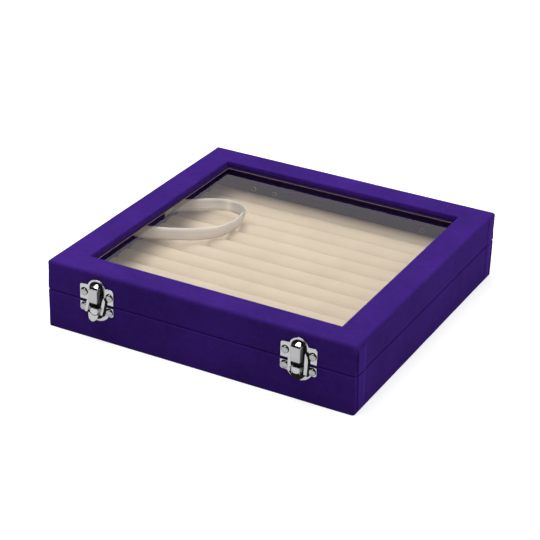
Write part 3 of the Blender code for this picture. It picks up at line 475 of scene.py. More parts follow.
def square_loop(half, radius, height):
    """A rounded square of points, from the front left corner anticlockwise."""
    run = half - radius
    edge = [(mark * run, -half) for mark in MARKS] + arc(run, -run, radius, -90, 0, CORNER_STEPS)[1:-1]
    points = []
    for c, s in ((1, 0), (0, 1), (-1, 0), (0, -1)):
        points += [(a * c - b * s, a * s + b * c, height) for a, b in edge]
    return points


def velvet_loops(profile):
    """Loops round the box from half widths and heights, rounder the further out."""
    loops = []
    for half, height in profile:
        radius = max(SHARPEST_CORNER, UPRIGHT_RADIUS - (COVER - half))
        loops.append(square_loop(half, radius, height))
    return loops


# The folded corners of the left and right sides: a leaning slit, a lip before it and a flap behind it,
# each with its width, how far it stands out, and its painted light tone, from -1 painted shade to 1 painted
# highlight:
# painted shade in the slit, painted highlights on the lip, the flap and the flap's edge
SLIT_AT_TOP = 0.9
SLIT_AT_BOTTOM = 4.6
SLIT_WIDE, SLIT_OUT, SLIT_TONE = 1.0, -0.75, -1.0
LIP_BEFORE = 1.5
LIP_WIDE, LIP_OUT, LIP_TONE = 0.8, 0.3, 0.8
FLAP_END = 13.0
FLAP_OUT, FLAP_BOW, FLAP_TONE = 0.3, 0.35, 0.42
# The flap edge's painted highlight: its width, its tone, and its share on the base
EDGE_WIDE, EDGE_TONE, BASE_EDGE_SHARE = 0.9, 0.85, 0.35
# Heights between which these fade
SLIT_FADES_LOW, SLIT_FADES_HIGH = (0.2, 2.0), (46.4, 48.4)
FLAP_FADES_LOW, EDGE_FADES_HIGH = (0.4, 3.0), (43.0, 46.5)
# On the lid the flap ends at a mitre, which rises along the side
MITRE_START, MITRE_RISE = 46.6, 1.5


def fold(place, lid):
    """At the folded corners: how far the cloth stands out, and its painted light tone of shade and highlight.
    """
    x, y, z = place
    if abs(x) < COVER - 0.9:
        return 0.0, 0.0
    along = COVER - abs(y)
    crease = SLIT_AT_TOP + (SLIT_AT_BOTTOM - SLIT_AT_TOP) * (TOP - z) / TOP
    ends = smooth_step(*SLIT_FADES_LOW, z) * (1 - smooth_step(*SLIT_FADES_HIGH, z))
    slit = bell(along, crease, SLIT_WIDE) * ends
    lip = bell(along, crease - LIP_BEFORE, LIP_WIDE) * ends
    flap = smooth_step(crease, crease + 1.0, along) * (1 - smooth_step(FLAP_END - 0.6, FLAP_END + 0.7, along))
    edge = bell(along, FLAP_END - 0.5, EDGE_WIDE)
    if lid:
        mitre = MITRE_START + MITRE_RISE * (along - crease) / (FLAP_END - crease)
        flap *= 1 - smooth_step(mitre - 1.2, mitre + 0.8, z)
        edge *= 1 - smooth_step(*EDGE_FADES_HIGH, z)
    else:
        edge *= BASE_EDGE_SHARE
    flap *= smooth_step(*FLAP_FADES_LOW, z)
    bow = FLAP_OUT + FLAP_BOW * smooth_step(crease + 2, FLAP_END - 1, along)
    out = SLIT_OUT * slit + LIP_OUT * lip + bow * flap
    return out, SLIT_TONE * slit + LIP_TONE * lip + FLAP_TONE * flap + EDGE_TONE * edge


# Height and size of the lumps of glued cloth, and of the waves in the parting's edges, with their seed
SWELL_BROAD, SWELL_FINE, SWELL_SUNK = (0.16, 38), (0.05, 9), 0.03
PARTING_WAVE = (0.10, 30, 10.0)
# Beside the window the top stays flat between these half widths
TOP_FLAT = (WINDOW + 1.5, WINDOW + 7)
# The gathered cloth at the lid's front right corner, with a painted highlight
GATHER_PLACE = Vector((COVER - 0.6, -COVER + 0.8, 47.2))
GATHER_OUT = Vector((0.4, -0.4, 0.1))
GATHER_REACH, GATHER_TONE = 1.8, 0.5
# Painted highlights on the edges along the parting: the left and right sides', then the front's and back's
LID_EDGE_TONES = (0.32, 0.0)
BASE_EDGE_TONES = (0.1, 0.28)


def dressed(place, where, lid, seed):
    """A cover's point moved as glued cloth lies, and its painted light tone: below 0 painted shade, above 0
    painted highlight.
    """
    v = Vector(place)
    if not where:
        return v, 0.0
    swell = lump(place, *SWELL_BROAD, seed) + lump(place, *SWELL_FINE, seed + 3) - SWELL_SUNK
    if where == "top":
        v.z += swell * smooth_step(*TOP_FLAT, max(abs(v.x), abs(v.y)))
        return v, 0.0
    out, tone = fold(place, lid)
    axis = 0 if abs(v.x) > abs(v.y) else 1
    outward = Vector((0, 0, 0))
    outward[axis] = math.copysign(1, v[axis])
    v += outward * (swell + out)
    v.z += lump((place[0], place[1], 0), *PARTING_WAVE)
    axis = 0 if abs(v.x) > abs(v.y) else 1
    if lid:
        near = bell((Vector(place) - GATHER_PLACE).length, 0, GATHER_REACH)
        v += GATHER_OUT * near
        tone += GATHER_TONE * near + LID_EDGE_TONES[axis] * bell(place[2], LID_BOTTOM + 0.9, 0.9)
    else:
        tone += BASE_EDGE_TONES[axis] * bell(place[2], BASE_TOP - 0.7, 0.6)
    return v, max(-1.0, min(1.0, tone))


def cover(name, rows, lid, seed, material, body, node):
    """A velvet cover from its rows, each with where it lies: top, side or None."""
    bm = bmesh.new()
    points = [[dressed(p, where, lid, seed) for p in row] for row, where in rows]
    painted_light = bm.verts.layers.float.new("painted_light")
    made = skin(bm, [[v for v, tone in row] for row in points])
    for verts, row in zip(made, points):
        for vert, (v, tone) in zip(verts, row):
            vert[painted_light] = tone
    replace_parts(add_object(name, bm, material, body), node)


EDGE_RADIUS, FOOT_RADIUS = 0.9, 0.5
# Half widths of the rows on the frame's top, and heights of the rows down the sides
FRAME_ROWS = (98.2, 100.5, 103.5, 106.5, 109.5, 112.5)
FRAME_RISE = (97, 109)
LID_SIDE_ROWS = (47.2, 46.3, 45.3, 44.2, 42.6, 40.4, 38.0, 35.6, 33.2, 31.2)
BASE_SIDE_ROWS = (1.4, 3.0, 5.6, 8.2, 11.0, 14.0, 17.0, 20.0, 22.8, 25.2, 26.6)
# Behind the parting the two covers all but touch, so no light shows through
PARTING_ROWS, PARTING_GAP = (114.8, 113.0), 0.04
CLOTH_BACK = 115.65
# Half width and height down the hidden back of each cover
LID_BACK_ROWS = (
    (112.2, 29.6), (115.0, 29.8), (CLOTH_BACK, 30.4), (CLOTH_BACK, 48.0),
    (114.4, 49.15), (97.6, 49.2), (96.6, 48.6), (96.6, LIP_BOTTOM),
)
BASE_BACK_ROWS = ((112.2, 27.6), (115.0, 27.4), (CLOTH_BACK, 26.8), (CLOTH_BACK, 1.2), (114.6, 0.9))


def lid_cover(material):
    top = TOP + COVER_RISE
    outer = [(WINDOW, LIP_BOTTOM), (WINDOW, 47.4)]
    outer += arc(WINDOW + EDGE_RADIUS, TOP - EDGE_RADIUS, EDGE_RADIUS, 180, 90)
    outer += [(half, TOP + COVER_RISE * smooth_step(*FRAME_RISE, half)) for half in FRAME_ROWS]
    top_count = len(outer)
    outer += arc(COVER - TOP_RADIUS, top - TOP_RADIUS, TOP_RADIUS, 90, 0, 8)
    outer += [(COVER, height) for height in LID_SIDE_ROWS]
    outer += arc(COVER - EDGE_RADIUS, LID_BOTTOM + EDGE_RADIUS, EDGE_RADIUS, 0, -90)
    outer += [(half, PARTING + PARTING_GAP) for half in PARTING_ROWS] + [(INNER, LID_BOTTOM + 0.5)]
    rows = []
    for i, row in enumerate(velvet_loops(outer)):
        where = None if i < 2 else "top" if i < top_count else "side"
        rows.append((row, where))
    rows += [(row, None) for row in velvet_loops(LID_BACK_ROWS)]
    cover("lid_velvet", rows, True, 2.0, material, "lid", "lid_velvet_cover")


def base_cover(material):
    outer = [(114.6, 0.1)] + arc(COVER - FOOT_RADIUS, 0.1 + FOOT_RADIUS, FOOT_RADIUS, -90, 0)
    outer += [(COVER, height) for height in BASE_SIDE_ROWS]
    outer += arc(COVER - EDGE_RADIUS, BASE_TOP - EDGE_RADIUS, EDGE_RADIUS, 0, 90)
    outer += [(half, PARTING - PARTING_GAP) for half in PARTING_ROWS] + [(INNER, BASE_TOP - 0.5)]
    rows = [(row, "side") for row in velvet_loops(outer)]
    rows += [(row, None) for row in velvet_loops(BASE_BACK_ROWS)]
    cover("base_velvet", rows, False, 5.0, material, "base", "base_velvet_cover")


# Lining and hinge eyelets

BASE_LINING, LID_LINING = (4.5, 27.4), (29.9, 42.0)
LINING_EDGE, LINING_CORNER, LINING_STEPS = 0.3, 0.8, 6
# The lid's lining swells at the back over the hinges, and fades out at these heights
LINING_SWELL, SWELL_FADES = 0.95, (37.5, 40.5)
HINGE_X, HINGE_COVERED = 71.6, (13.0, 19.0)


def hinge_cover(x):
    """1 over a hinge's rivets, 0 away from them."""
    return 1 - smooth_step(*HINGE_COVERED, abs(abs(x) - HINGE_X))


def lining(body, ends, material):
    """The velvet-covered card inside the walls, with soft upper and lower edges."""
    bottom, top = ends
    back = INNER + LINING_THICK
    face = [(INNER, bottom + LINING_EDGE)]
    face += [(INNER, bottom + (top - bottom) * i / LINING_STEPS) for i in range(1, LINING_STEPS)]
    face += [(INNER, top - LINING_EDGE), (INNER + LINING_EDGE, top)]
    loops = [[Vector(p) for p in square_loop(half, LINING_CORNER, height)] for half, height in face]
    if body == "lid":
        for v in (v for loop in loops for v in loop if v.y > INNER - 0.5):
            v.y -= LINING_SWELL * hinge_cover(v.x) * (1 - smooth_step(*SWELL_FADES, v.z))
    hidden = ((back, top), (back, bottom), (INNER + LINING_EDGE, bottom))
    loops += [square_loop(half, LINING_CORNER, height) for half, height in hidden]
    bm = bmesh.new()
    skin(bm, loops)
    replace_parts(add_object(f"{body}_lining_cloth", bm, material, body), f"{body}_lining")


EYELET_PLACES = (-80.6, -62.6, 62.6, 80.6)
EYELET_Y, EYELET_Z = 111.32, 24.0
EYELET_RADIUS, EYELET_WIRE, EYELET_STEPS = 1.75, 0.34, 28


def eyelet_rows(centre):
    """Rings of points round the wire of an eyelet."""
    wire = arc(EYELET_RADIUS, 0, EYELET_WIRE, 0, 324, 9)
    turns = [math.tau * i / EYELET_STEPS for i in range(EYELET_STEPS)]
    return [[centre + Vector((r * math.cos(t), y, r * math.sin(t))) for r, y in wire] for t in turns]


def add_eyelets(metal, cloth):
    """The ends of the base's hinge rivets, rings on the back wall with a dark middle."""
    for index, x in enumerate(EYELET_PLACES):
        centre = Vector((x, EYELET_Y, EYELET_Z))
        bm = bmesh.new()
        skin(bm, eyelet_rows(centre))
        add_object(f"hinge_eyelet_{index + 1}", bm, metal, "base")
        bm = bmesh.new()
        bmesh.ops.create_cone(bm, cap_ends=True, segments=EYELET_STEPS, radius1=1.6, radius2=1.3, depth=0.3)
        bmesh.ops.rotate(bm, matrix=Matrix.Rotation(math.pi / 2, 3, "X"), verts=bm.verts)
        bmesh.ops.translate(bm, vec=centre + Vector((0, -0.05, 0)), verts=bm.verts)
        add_object(f"hinge_eyelet_middle_{index + 1}", bm, cloth, "base")


# The pane's edge

# Half width and height round each ring's section
SEAL_SECTION = ((95.75, 45.5), (95.3, 45.25), (94.85, 44.95), (94.8, 44.8), (97.5, 44.8), (97.5, 45.5))
CARD_SECTION = ((94.72, 44.72), (94.62, 44.6), (94.62, 44.4), (95.5, 44.36), (98.0, 44.36), (98.0, 44.74))
PANE_CORNER = 0.5


def pane_edge(name, section, material):
    """A thin square ring just above the pane."""
    bm = bmesh.new()
    skin(bm, [square_loop(half, PANE_CORNER, height) for half, height in section])
    return add_object(name, bm, material, "lid")


def add_pane_edge(card, cloth):
    """The cloth turned in under the frame, made of the dark lining cloth as painted shade, and the line of
    brown card below it.
    """
    pane_edge("window_seal", SEAL_SECTION, cloth)
    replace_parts(pane_edge("window_card", CARD_SECTION, card), "glass_gasket")


# Foam rolls

ROLL_COUNT, LEDGE_ROOM = 13, 6.9
ROLL_PITCH = (2 * INNER - LEDGE_ROOM) / ROLL_COUNT
ROLL_BOTTOM = 4.2
ROLL_HALF_LENGTH = INNER - 0.25
ROLL_OVERLAP, WALL_PLAY, END_PLAY = 0.25, 0.3, 0.15
ROLL_LONG_STEPS = 56
# Rings at a roll's ends, by their distance from the end, and how far the ends droop
ROLL_END_RINGS = (0.0, 0.4, 1.2)
ROLL_EVEN_FROM = 4
ROLL_DROOP, ROLL_DROOP_REACH = 0.3, 1.5
# The crown falls by this much to the sides, at first slowly
CROWN_STEPS, CROWN_DROP, CROWN_POWER = 12, 2.6, 3.0
# Height and size of the lumps along a roll
ROLL_WAVE, ROLL_RIPPLE = (0.14, 30), (0.06, 8)
# How far below its height in the CAD the cloth starts, and how far it may swell past it
ROLL_SUNK, ROLL_SWOLLEN = 0.35, 0.25
LEDGE_SUNK, LEDGE_SWOLLEN = 0.3, 0.2


def roll_section(half, bottom, top):
    """Cross-section of a roll: y and z round the bar, crown first."""
    shares = [math.sin(math.pi * (i / CROWN_STEPS - 0.5)) for i in range(CROWN_STEPS + 1)]
    crown = [(half * share, top - CROWN_DROP * abs(share) ** CROWN_POWER) for share in shares]
    shoulder = top - CROWN_DROP
    right = [(half, z) for z in (shoulder - 0.5, shoulder - 3, bottom + 2)] + [(half - 1, bottom)]
    left = [(-y, z) for y, z in reversed(right)]
    return crown + right + [(0, bottom)] + left


def roll_places():
    """Places of the rings along a roll, close together at its ends."""
    middle = ROLL_HALF_LENGTH - ROLL_EVEN_FROM
    places = [-ROLL_HALF_LENGTH + ring for ring in ROLL_END_RINGS]
    places += [middle * (2 * i / ROLL_LONG_STEPS - 1) for i in range(ROLL_LONG_STEPS + 1)]
    return places + [ROLL_HALF_LENGTH - ring for ring in reversed(ROLL_END_RINGS)]


def roll_mesh(name, front, back, play, top, material, seed):
    """A roll's cloth before it swells, with some play at its front and back."""
    middle_y = (back + front) / 2
    section = roll_section((back - front) / 2 - play, ROLL_BOTTOM, top)
    rows = []
    for x in roll_places():
        droop = ROLL_DROOP * max(0.0, 1 - (ROLL_HALF_LENGTH - abs(x)) / ROLL_DROOP_REACH) ** 2
        row = []
        for y, z in section:
            lift = lump((x, y * 1.5, z), *ROLL_WAVE, seed) + lump((x, y, z), *ROLL_RIPPLE, seed + 2)
            row.append(Vector((x, middle_y + y, z + (lift - droop) * smooth_step(ROLL_BOTTOM + 6, top, z))))
        rows.append(row)
    bm = bmesh.new()
    skin(bm, rows, closed_rows=False)
    return add_object(name, bm, material)


# For how many frames the cloth swells, how far at most, and how high its foot is held
SWELL_FRAMES, SWELL_MOST, HELD_HEIGHT = 20, 0.9, 7.0
CLOTH = {
    "quality": 5,
    "mass": 0.25,
    "tension_stiffness": 18,
    "compression_stiffness": 18,
    "shear_stiffness": 8,
    "bending_stiffness": 0.6,
    "use_pressure": True,
    "uniform_pressure_force": 4.0,
    "vertex_group_mass": "held",
}


def points_of(mesh):
    return np.array([v.co for v in mesh.vertices])


def make_cloth(obj):
    held = obj.vertex_groups.new(name="held")
    low = min(v.co.z for v in obj.data.vertices)
    held.add([v.index for v in obj.data.vertices if v.co.z < low + HELD_HEIGHT * MM], 1.0, "REPLACE")
    cloth = obj.modifiers.new("cloth", "CLOTH")
    for key, value in CLOTH.items():
        setattr(cloth.settings, key, value)
    cloth.settings.effector_weights.gravity = 0.0
    cloth.collision_settings.use_collision = False
    cloth.collision_settings.use_self_collision = False
    cloth.point_cache.frame_start = 1
    cloth.point_cache.frame_end = SWELL_FRAMES


def settled_points(obj, graph):
    """Where the cloth settled, never further than it may swell."""
    mesh = bpy.data.meshes.new_from_object(obj.evaluated_get(graph))
    start = points_of(obj.data)
    move = points_of(mesh) - start
    bpy.data.meshes.remove(mesh)
    length = np.linalg.norm(move, axis=1, keepdims=True)
    move *= np.minimum(1.0, SWELL_MOST * MM / np.maximum(length, 1e-9))
    return (start + move).astype(np.float32).ravel()


def swell(objects):
    """Lets each bar's cloth swell over its foam and keeps the result."""
    for obj in objects:
        make_cloth(obj)
    scene = bpy.context.scene
    for frame_number in range(1, SWELL_FRAMES + 1):
        scene.frame_set(frame_number)
    graph = bpy.context.evaluated_depsgraph_get()
    settled = [settled_points(obj, graph) for obj in objects]
    for obj, points in zip(objects, settled):
        obj.modifiers.clear()
        obj.vertex_groups.clear()
        obj.data.vertices.foreach_set("co", points)
        obj.data.update()
    scene.frame_set(1)


def keep_in_lane(obj, front, back, top):
    """Keeps a settled bar inside its own space."""
    end = INNER - END_PLAY
    for v in obj.data.vertices:
        v.co.x = min(end * MM, max(-end * MM, v.co.x))
        v.co.y = min(back * MM, max(front * MM, v.co.y))
        v.co.z = min(top * MM, v.co.z)
    obj.data.update()


def add_rolls(material):
    """The rolls from the back wall forwards, and the ledge that fills the rest."""
    lanes = []
    for index in range(ROLL_COUNT):
        number = f"{index + 1:02d}"
        back = INNER - WALL_PLAY - index * ROLL_PITCH
        front = back - ROLL_PITCH - ROLL_OVERLAP
        seed = 1.0 + index * 2.3
        pad = roll_mesh(f"roll_pad_{number}", front, back, 0.01, ROLL_TOP - ROLL_SUNK, material, seed)
        lanes.append((pad, f"ring_roll_{number}", front, back, ROLL_TOP + ROLL_SWOLLEN))
    front = -INNER + WALL_PLAY
    back = INNER - ROLL_COUNT * ROLL_PITCH - WALL_PLAY
    ledge = roll_mesh("ledge_pad", front, back, WALL_PLAY, LEDGE_TOP - LEDGE_SUNK, material, 40.0)
    lanes.append((ledge, "front_ledge", front, back, LEDGE_TOP + LEDGE_SWOLLEN))
    swell([lane[0] for lane in lanes])
    for obj, node, front, back, top in lanes:
        keep_in_lane(obj, front, back, top)
        finer = obj.modifiers.new("finer", "SUBSURF")
        finer.levels = 1
        finer.render_levels = 1
        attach(obj, "base")
        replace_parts(obj, node)


# Ribbon

RIBBON_WIDTH, RIBBON_LENGTH, RIBBON_THICK = 10.0, 180.0, 0.18
RIBBON_ROUTE = (
    # x, y, height of the lower edge, lean of the upper edge outwards, in millimetres
    (-111.6, -25.0, 30.4, 0.0),
    (-111.3, -20.0, 30.2, 0.0),
    (-105.8, -17.4, 29.2, 0.0),
    (-93.2, -9.4, 27.4, 0.2),
    (-76.9, 3.7, 25.2, 0.5),
    (-64.5, 18.0, 23.7, 0.8),
    (-60.0, 29.0, 23.4, 1.2),
    (-58.2, 39.5, 23.3, 1.2),
    (-58.4, 48.0, 23.3, 0.8),
    (-59.2, 54.6, 24.2, 0.2),
    (-62.0, 56.6, 27.0, -0.2),
    (-67.0, 56.6, 28.2, -0.5),
    (-72.6, 56.7, 28.4, -0.6),
    (-81.0, 55.0, 28.0, -0.4),
    (-88.4, 52.4, 27.2, -0.2),
    (-95.0, 49.2, 26.4, 0.0),
    (-101.4, 46.2, 25.8, 0.0),
    (-107.6, 42.8, 25.4, 0.0),
    (-111.0, 39.5, 25.2, 0.0),
    (-111.55, 34.0, 25.2, 0.0),
    (-111.6, 28.0, 25.2, 0.0),
)
RIBBON_STEPS, RIBBON_ACROSS, RIBBON_GLUED_STEPS, RIBBON_SLOPE_REACH = 5, 4, 4, 3
RIBBON_CUP = 0.35
RIBBON_WAVE = (0.1, 12, 21.0)
# Tone, station and reach of the painted light: a painted highlight on the crease, painted shade on the
# stretch beside it and a painted highlight on the front run
RIBBON_TONES = ((0.95, 60, 1.8), (-0.8, 52, 5), (0.2, 25, 7))
# Painted shade darkens the ends near the left wall, under the lid's frame
RIBBON_END_TONE, RIBBON_DARK_ENDS = -0.9, (-102, -93)


def ribbon_tone(station, x):
    """The painted light tone at a station along the ribbon."""
    tone = sum(level * bell(station, middle, reach) for level, middle, reach in RIBBON_TONES)
    tone += RIBBON_END_TONE * (1 - smooth_step(*RIBBON_DARK_ENDS, x))
    return max(-1.0, min(1.0, tone))


def curve_through(points, steps):
    """A Catmull-Rom curve through the points."""
    rows = np.array(points, float)
    rows = np.vstack((2 * rows[0] - rows[1], rows, 2 * rows[-1] - rows[-2]))
    made = []
    for a, b, c, d in zip(rows, rows[1:], rows[2:], rows[3:]):
        for i in range(steps):
            t = i / steps
            bend_in = (2 * a - 5 * b + 4 * c - d) * t**2
            bend_out = (3 * b - a - 3 * c + d) * t**3
            made.append((2 * b + (c - a) * t + bend_in + bend_out) / 2)
    made.append(rows[-2])
    return made


def run_between(stations, i, reach):
    """The step from a station a few before to one a few after."""
    before = stations[max(0, i - reach)]
    return stations[min(len(stations) - 1, i + reach)] - before


def ribbon_row(stations, i):
    """Points across the ribbon from its lower edge up, leaning back where the ribbon climbs."""
    x, y, low, lean = stations[i]
    broad = run_between(stations, i, RIBBON_SLOPE_REACH)
    slope = broad[2] / math.hypot(broad[0], broad[1])
    along = Vector(run_between(stations, i, 1)[:2]).normalized()
    out = Vector((along.y, -along.x))
    last = len(stations) - 1
    free = smooth_step(0, RIBBON_GLUED_STEPS, i) * (1 - smooth_step(last - RIBBON_GLUED_STEPS, last, i))
    upright = math.sqrt(RIBBON_WIDTH**2 - lean**2)
    row = []
    for j in range(RIBBON_ACROSS + 1):
        share = j / RIBBON_ACROSS
        push = lean * share + RIBBON_CUP * math.sin(math.pi * share)
        push += lump((x, y, low + RIBBON_WIDTH * share), *RIBBON_WAVE)
        rise = upright * share / math.hypot(1, slope)
        place = Vector((x, y)) + out * push * free - along * slope * rise * free
        row.append((place.x, place.y, low + rise))
    return row


def ribbon_bmesh(stations):
    bm = bmesh.new()
    uv = bm.loops.layers.uv.new("ribbon")
    painted_light = bm.verts.layers.float.new("painted_light")
    rows = []
    for i, station in enumerate(stations):
        rows.append([bm.verts.new(point) for point in ribbon_row(stations, i)])
        for vert in rows[-1]:
            vert[painted_light] = ribbon_tone(i, station[0])
    for i in range(len(rows) - 1):
        for j in range(RIBBON_ACROSS):
            corners = ((i, j), (i + 1, j), (i + 1, j + 1), (i, j + 1))
            face = bm.faces.new([rows[a][b] for a, b in corners])
            for loop, (a, b) in zip(face.loops, corners):
                loop[uv].uv = (b / RIBBON_ACROSS, a / len(rows))
    return bm


def add_ribbon(material):
    obj = add_object("satin_stay", ribbon_bmesh(curve_through(RIBBON_ROUTE, RIBBON_STEPS)), material)
    thick = obj.modifiers.new("thickness", "SOLIDIFY")
    thick.thickness = RIBBON_THICK * MM
    thick.offset = 0.0
    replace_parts(obj, "ribbon_stay")
    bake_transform(obj)


# Latches: across, up from the parting line, and out from the front, in millimetres

LATCH_X = 76.6
PLATE_BACK, PLATE_FRONT = 0.5, 1.5
PLATE_HALF, PLATE_CORNER = 13.2, 1.6
LID_PLATE_BOTTOM, LID_PLATE_TOP = 1.0, 12.4
BASE_PLATE_BOTTOM, BASE_PLATE_TOP = -7.8, -1.0
# The lid plate's arch, round its window
ARCH, ARCH_INNER, ARCH_UP = 7.2, 5.7, 10.4
ARCH_STARTS_UP = 12.7
WINDOW_BOTTOM = 2.4
# The base plate's round lower edge, and its opening: a slot that widens to a half disc
ROUND, ROUND_ACROSS, ROUND_UP = 10.0, 0.8, -3.0
ROUND_STARTS_UP = -7.9
OPENING_TOP = -1.7
SLOT_HALF, SLOT_BOTTOM = 4.4, -4.8
DISC, DISC_UP = 5.4, -6.2
ARC_STEPS = 16


def latch_point(side, across, up, out):
    return Vector((side * LATCH_X + across, -HALF - out, PARTING + up))


def flat_sheet(name, outlines, thickness, bevel):
    """A flat mesh from an outline and the holes after it, with softly rounded edges."""
    curve = bpy.data.curves.new(name, "CURVE")
    curve.dimensions = "2D"
    curve.fill_mode = "BOTH"
    curve.extrude = thickness / 2 - bevel
    curve.bevel_depth = bevel
    curve.bevel_resolution = 2
    curve.offset = -bevel
    for outline in outlines:
        line = curve.splines.new("POLY")
        line.points.add(len(outline) - 1)
        for point, (a, b) in zip(line.points, outline):
            point.co = (a, b, 0, 1)
        line.use_cyclic_u = True
    holder = bpy.data.objects.new(name + "_curve", curve)
    bpy.context.scene.collection.objects.link(holder)
    graph = bpy.context.evaluated_depsgraph_get()
    flat = bpy.data.meshes.new_from_object(holder.evaluated_get(graph))
    bpy.data.objects.remove(holder)
    return flat


def outline_piece(name, side, outlines, back, front, material, body, bevel=0.22):
    """A sheet that stands in front of the box, flat faces sharp and edges smooth."""
    bm = bmesh.new()
    bm.from_mesh(flat_sheet(name, outlines, front - back, bevel))
    bmesh.ops.remove_doubles(bm, verts=bm.verts, dist=0.004)
    for v in bm.verts:
        v.co = latch_point(side, v.co.x, v.co.y, v.co.z + (front + back) / 2)
    obj = add_object(name, bm, material, body, smooth=False)
    for face in obj.data.polygons:
        face.use_smooth = abs(face.normal.y) < 0.97
    obj.data.update()
    return obj


def side_plate(name, side, across, thickness, outline, material, body):
    """A plate that stands across the front, from its side view (out, up)."""
    middle = Vector((sum(p[0] for p in outline), sum(p[1] for p in outline))) / len(outline)
    rows = []
    for shift, inset in ((-0.5, 0.12), (-0.38, 0.0), (0.38, 0.0), (0.5, 0.12)):
        row = []
        for out, up in outline:
            toward = (middle - Vector((out, up))).normalized() * inset
            row.append(latch_point(side, across + shift * thickness, up + toward.y, out + toward.x))
        rows.append(row)
    bm = bmesh.new()
    skin(bm, rows, closed_rows=False)
    add_object(name, bm, material, body, smooth=False)


def plate_corner(end, up, start, turn):
    """A rounded outer corner of a plate, at its left or right end."""
    return arc(end * (PLATE_HALF - PLATE_CORNER), up, PLATE_CORNER, start, start + turn)


def lid_plate_lines():
    """The lid plate's outline and its window."""
    rise = math.degrees(math.asin((ARCH_STARTS_UP - ARCH_UP) / ARCH))
    outer = [(PLATE_HALF, LID_PLATE_BOTTOM), (-PLATE_HALF, LID_PLATE_BOTTOM)]
    outer += plate_corner(-1, LID_PLATE_TOP - PLATE_CORNER, 180, -90)
    outer += arc(0, ARCH_UP, ARCH, 180 - rise, rise, ARC_STEPS)
    outer += plate_corner(1, LID_PLATE_TOP - PLATE_CORNER, 90, -90)
    window = [(-ARCH_INNER, WINDOW_BOTTOM), (ARCH_INNER, WINDOW_BOTTOM)]
    return [outer, window + arc(0, ARCH_UP, ARCH_INNER, 0, 180, ARC_STEPS)]


def base_plate_lines():
    """The base plate's outline and, behind the lever, its opening."""
    rise = math.degrees(math.asin((ROUND_UP - ROUND_STARTS_UP) / ROUND))
    outer = [(-PLATE_HALF, BASE_PLATE_TOP), (PLATE_HALF, BASE_PLATE_TOP)]
    outer += plate_corner(1, BASE_PLATE_BOTTOM + PLATE_CORNER, 0, -90)
    outer += arc(ROUND_ACROSS, ROUND_UP, ROUND, -rise, rise - 180, ARC_STEPS)
    outer += plate_corner(-1, BASE_PLATE_BOTTOM + PLATE_CORNER, -90, -90)
    opening = [(SLOT_HALF, OPENING_TOP), (SLOT_HALF, SLOT_BOTTOM)]
    opening += arc(0, DISC_UP, DISC, 0, -180, ARC_STEPS)
    opening += [(-SLOT_HALF, SLOT_BOTTOM), (-SLOT_HALF, OPENING_TOP)]
    return [outer, opening]


LEG = (
    # across, up: the bail's right leg
    (5.0, -7.0), (5.2, -7.3), (7.2, -7.3), (7.5, -7.0), (7.55, 2.6), (7.3, 4.6), (6.7, 6.5), (5.8, 8.3),
    (5.4, 8.6), (5.05, 8.2), (4.95, 6.0),
)
LEFT_LEG_SHARE = 0.9
# How each bail stands: its lean, how far up its legs reach, and its shift to the right
RIGHT_STANCE = (0.03, 1.0, 0.0)
LEFT_STANCE = (0.2, 0.7, -0.5)
# The painted shadow behind the legs reaches this much further right and down
SHADOW_RIGHT, SHADOW_DOWN = 0.75, 1.2
# The web between the legs and the hood, coloured with painted shade
WEB = ((-4.9, -2.0), (5.3, -2.0), (5.3, 7.2), (-4.9, 7.2))


def leg_lines(stance, right=0.0, down=0.0):
    """The bail's two legs, or the painted shadow behind them, which is shifted and reaches lower."""
    lean, rise, shift = stance
    shift += right

    def stand(across, up):
        return across + shift + lean * up, up * rise if up > 0 else up - down

    right_leg = [stand(across, up) for across, up in LEG]
    left_leg = [stand(-across * LEFT_LEG_SHARE, up) for across, up in reversed(LEG)]
    return [right_leg, left_leg]


HOOD_SECTIONS = (
    # up, half width, front, corner radius
    (2.1, 3.10, 6.20, 0.35),
    (2.2, 3.32, 6.42, 0.40),
    (2.5, 3.45, 6.55, 0.45),
    (7.0, 3.45, 6.60, 0.45),
    (11.6, 3.45, 6.55, 0.45),
    (12.2, 3.44, 6.54, 0.45),
    (12.35, 3.42, 6.50, 0.45),
    (12.4, 3.34, 6.40, 0.40),
)
# Painted shade for the dark gap between the hood's upper edge and the nose
HOOD_MOUTH = ((-2.9, 11.2), (2.9, 11.2), (2.9, 13.7), (-2.9, 13.7))
HOOD_BACK, HOOD_WALL = 1.9, 0.55
HOOD_CORNER_STEPS = 5


def hood_row(bm, side, up, half, front, radius):
    """Points from the left wall's back, round the front, to the right wall's back."""
    left = arc(radius - half, front - radius, radius, 180, 90, HOOD_CORNER_STEPS)
    right = arc(half - radius, front - radius, radius, 90, 0, HOOD_CORNER_STEPS)
    row = [(-half, HOOD_BACK), *left, *right, (half, HOOD_BACK)]
    return [bm.verts.new(latch_point(side, across, up, out)) for across, out in row]


def join(bm, row, following):
    """Faces between two rows of points, which stay open at their ends."""
    for a, b, c, d in zip(row, row[1:], following[1:], following):
        bm.faces.new((a, b, c, d))


def hood(name, side, material, side_material, body):
    """The bail's hollow hood, open at the top, where the lid plate's nose shows."""
    bm = bmesh.new()
    outer, inner = [], []
    for up, half, front, radius in HOOD_SECTIONS:
        outer.append(hood_row(bm, side, up, half, front, radius))
        inner.append(hood_row(bm, side, up, half - HOOD_WALL, front - HOOD_WALL, radius * 0.8))
    for low, high in zip(outer, outer[1:]):
        join(bm, low, high)
    for low, high in zip(inner, inner[1:]):
        join(bm, high, low)
    join(bm, inner[0], outer[0])
    join(bm, outer[-1], inner[-1])
    join(bm, [row[0] for row in outer], [row[0] for row in inner])
    join(bm, [row[-1] for row in inner], [row[-1] for row in outer])
    bm.normal_update()
    for face in bm.faces:
        # Side walls and upward faces take the shaded chrome: painted shade
        face.material_index = int(abs(face.normal.x) > 0.8 or face.normal.z > 0.5)
    obj = add_object(name, bm, material, body)
    obj.data.materials.append(side_material)
    return obj


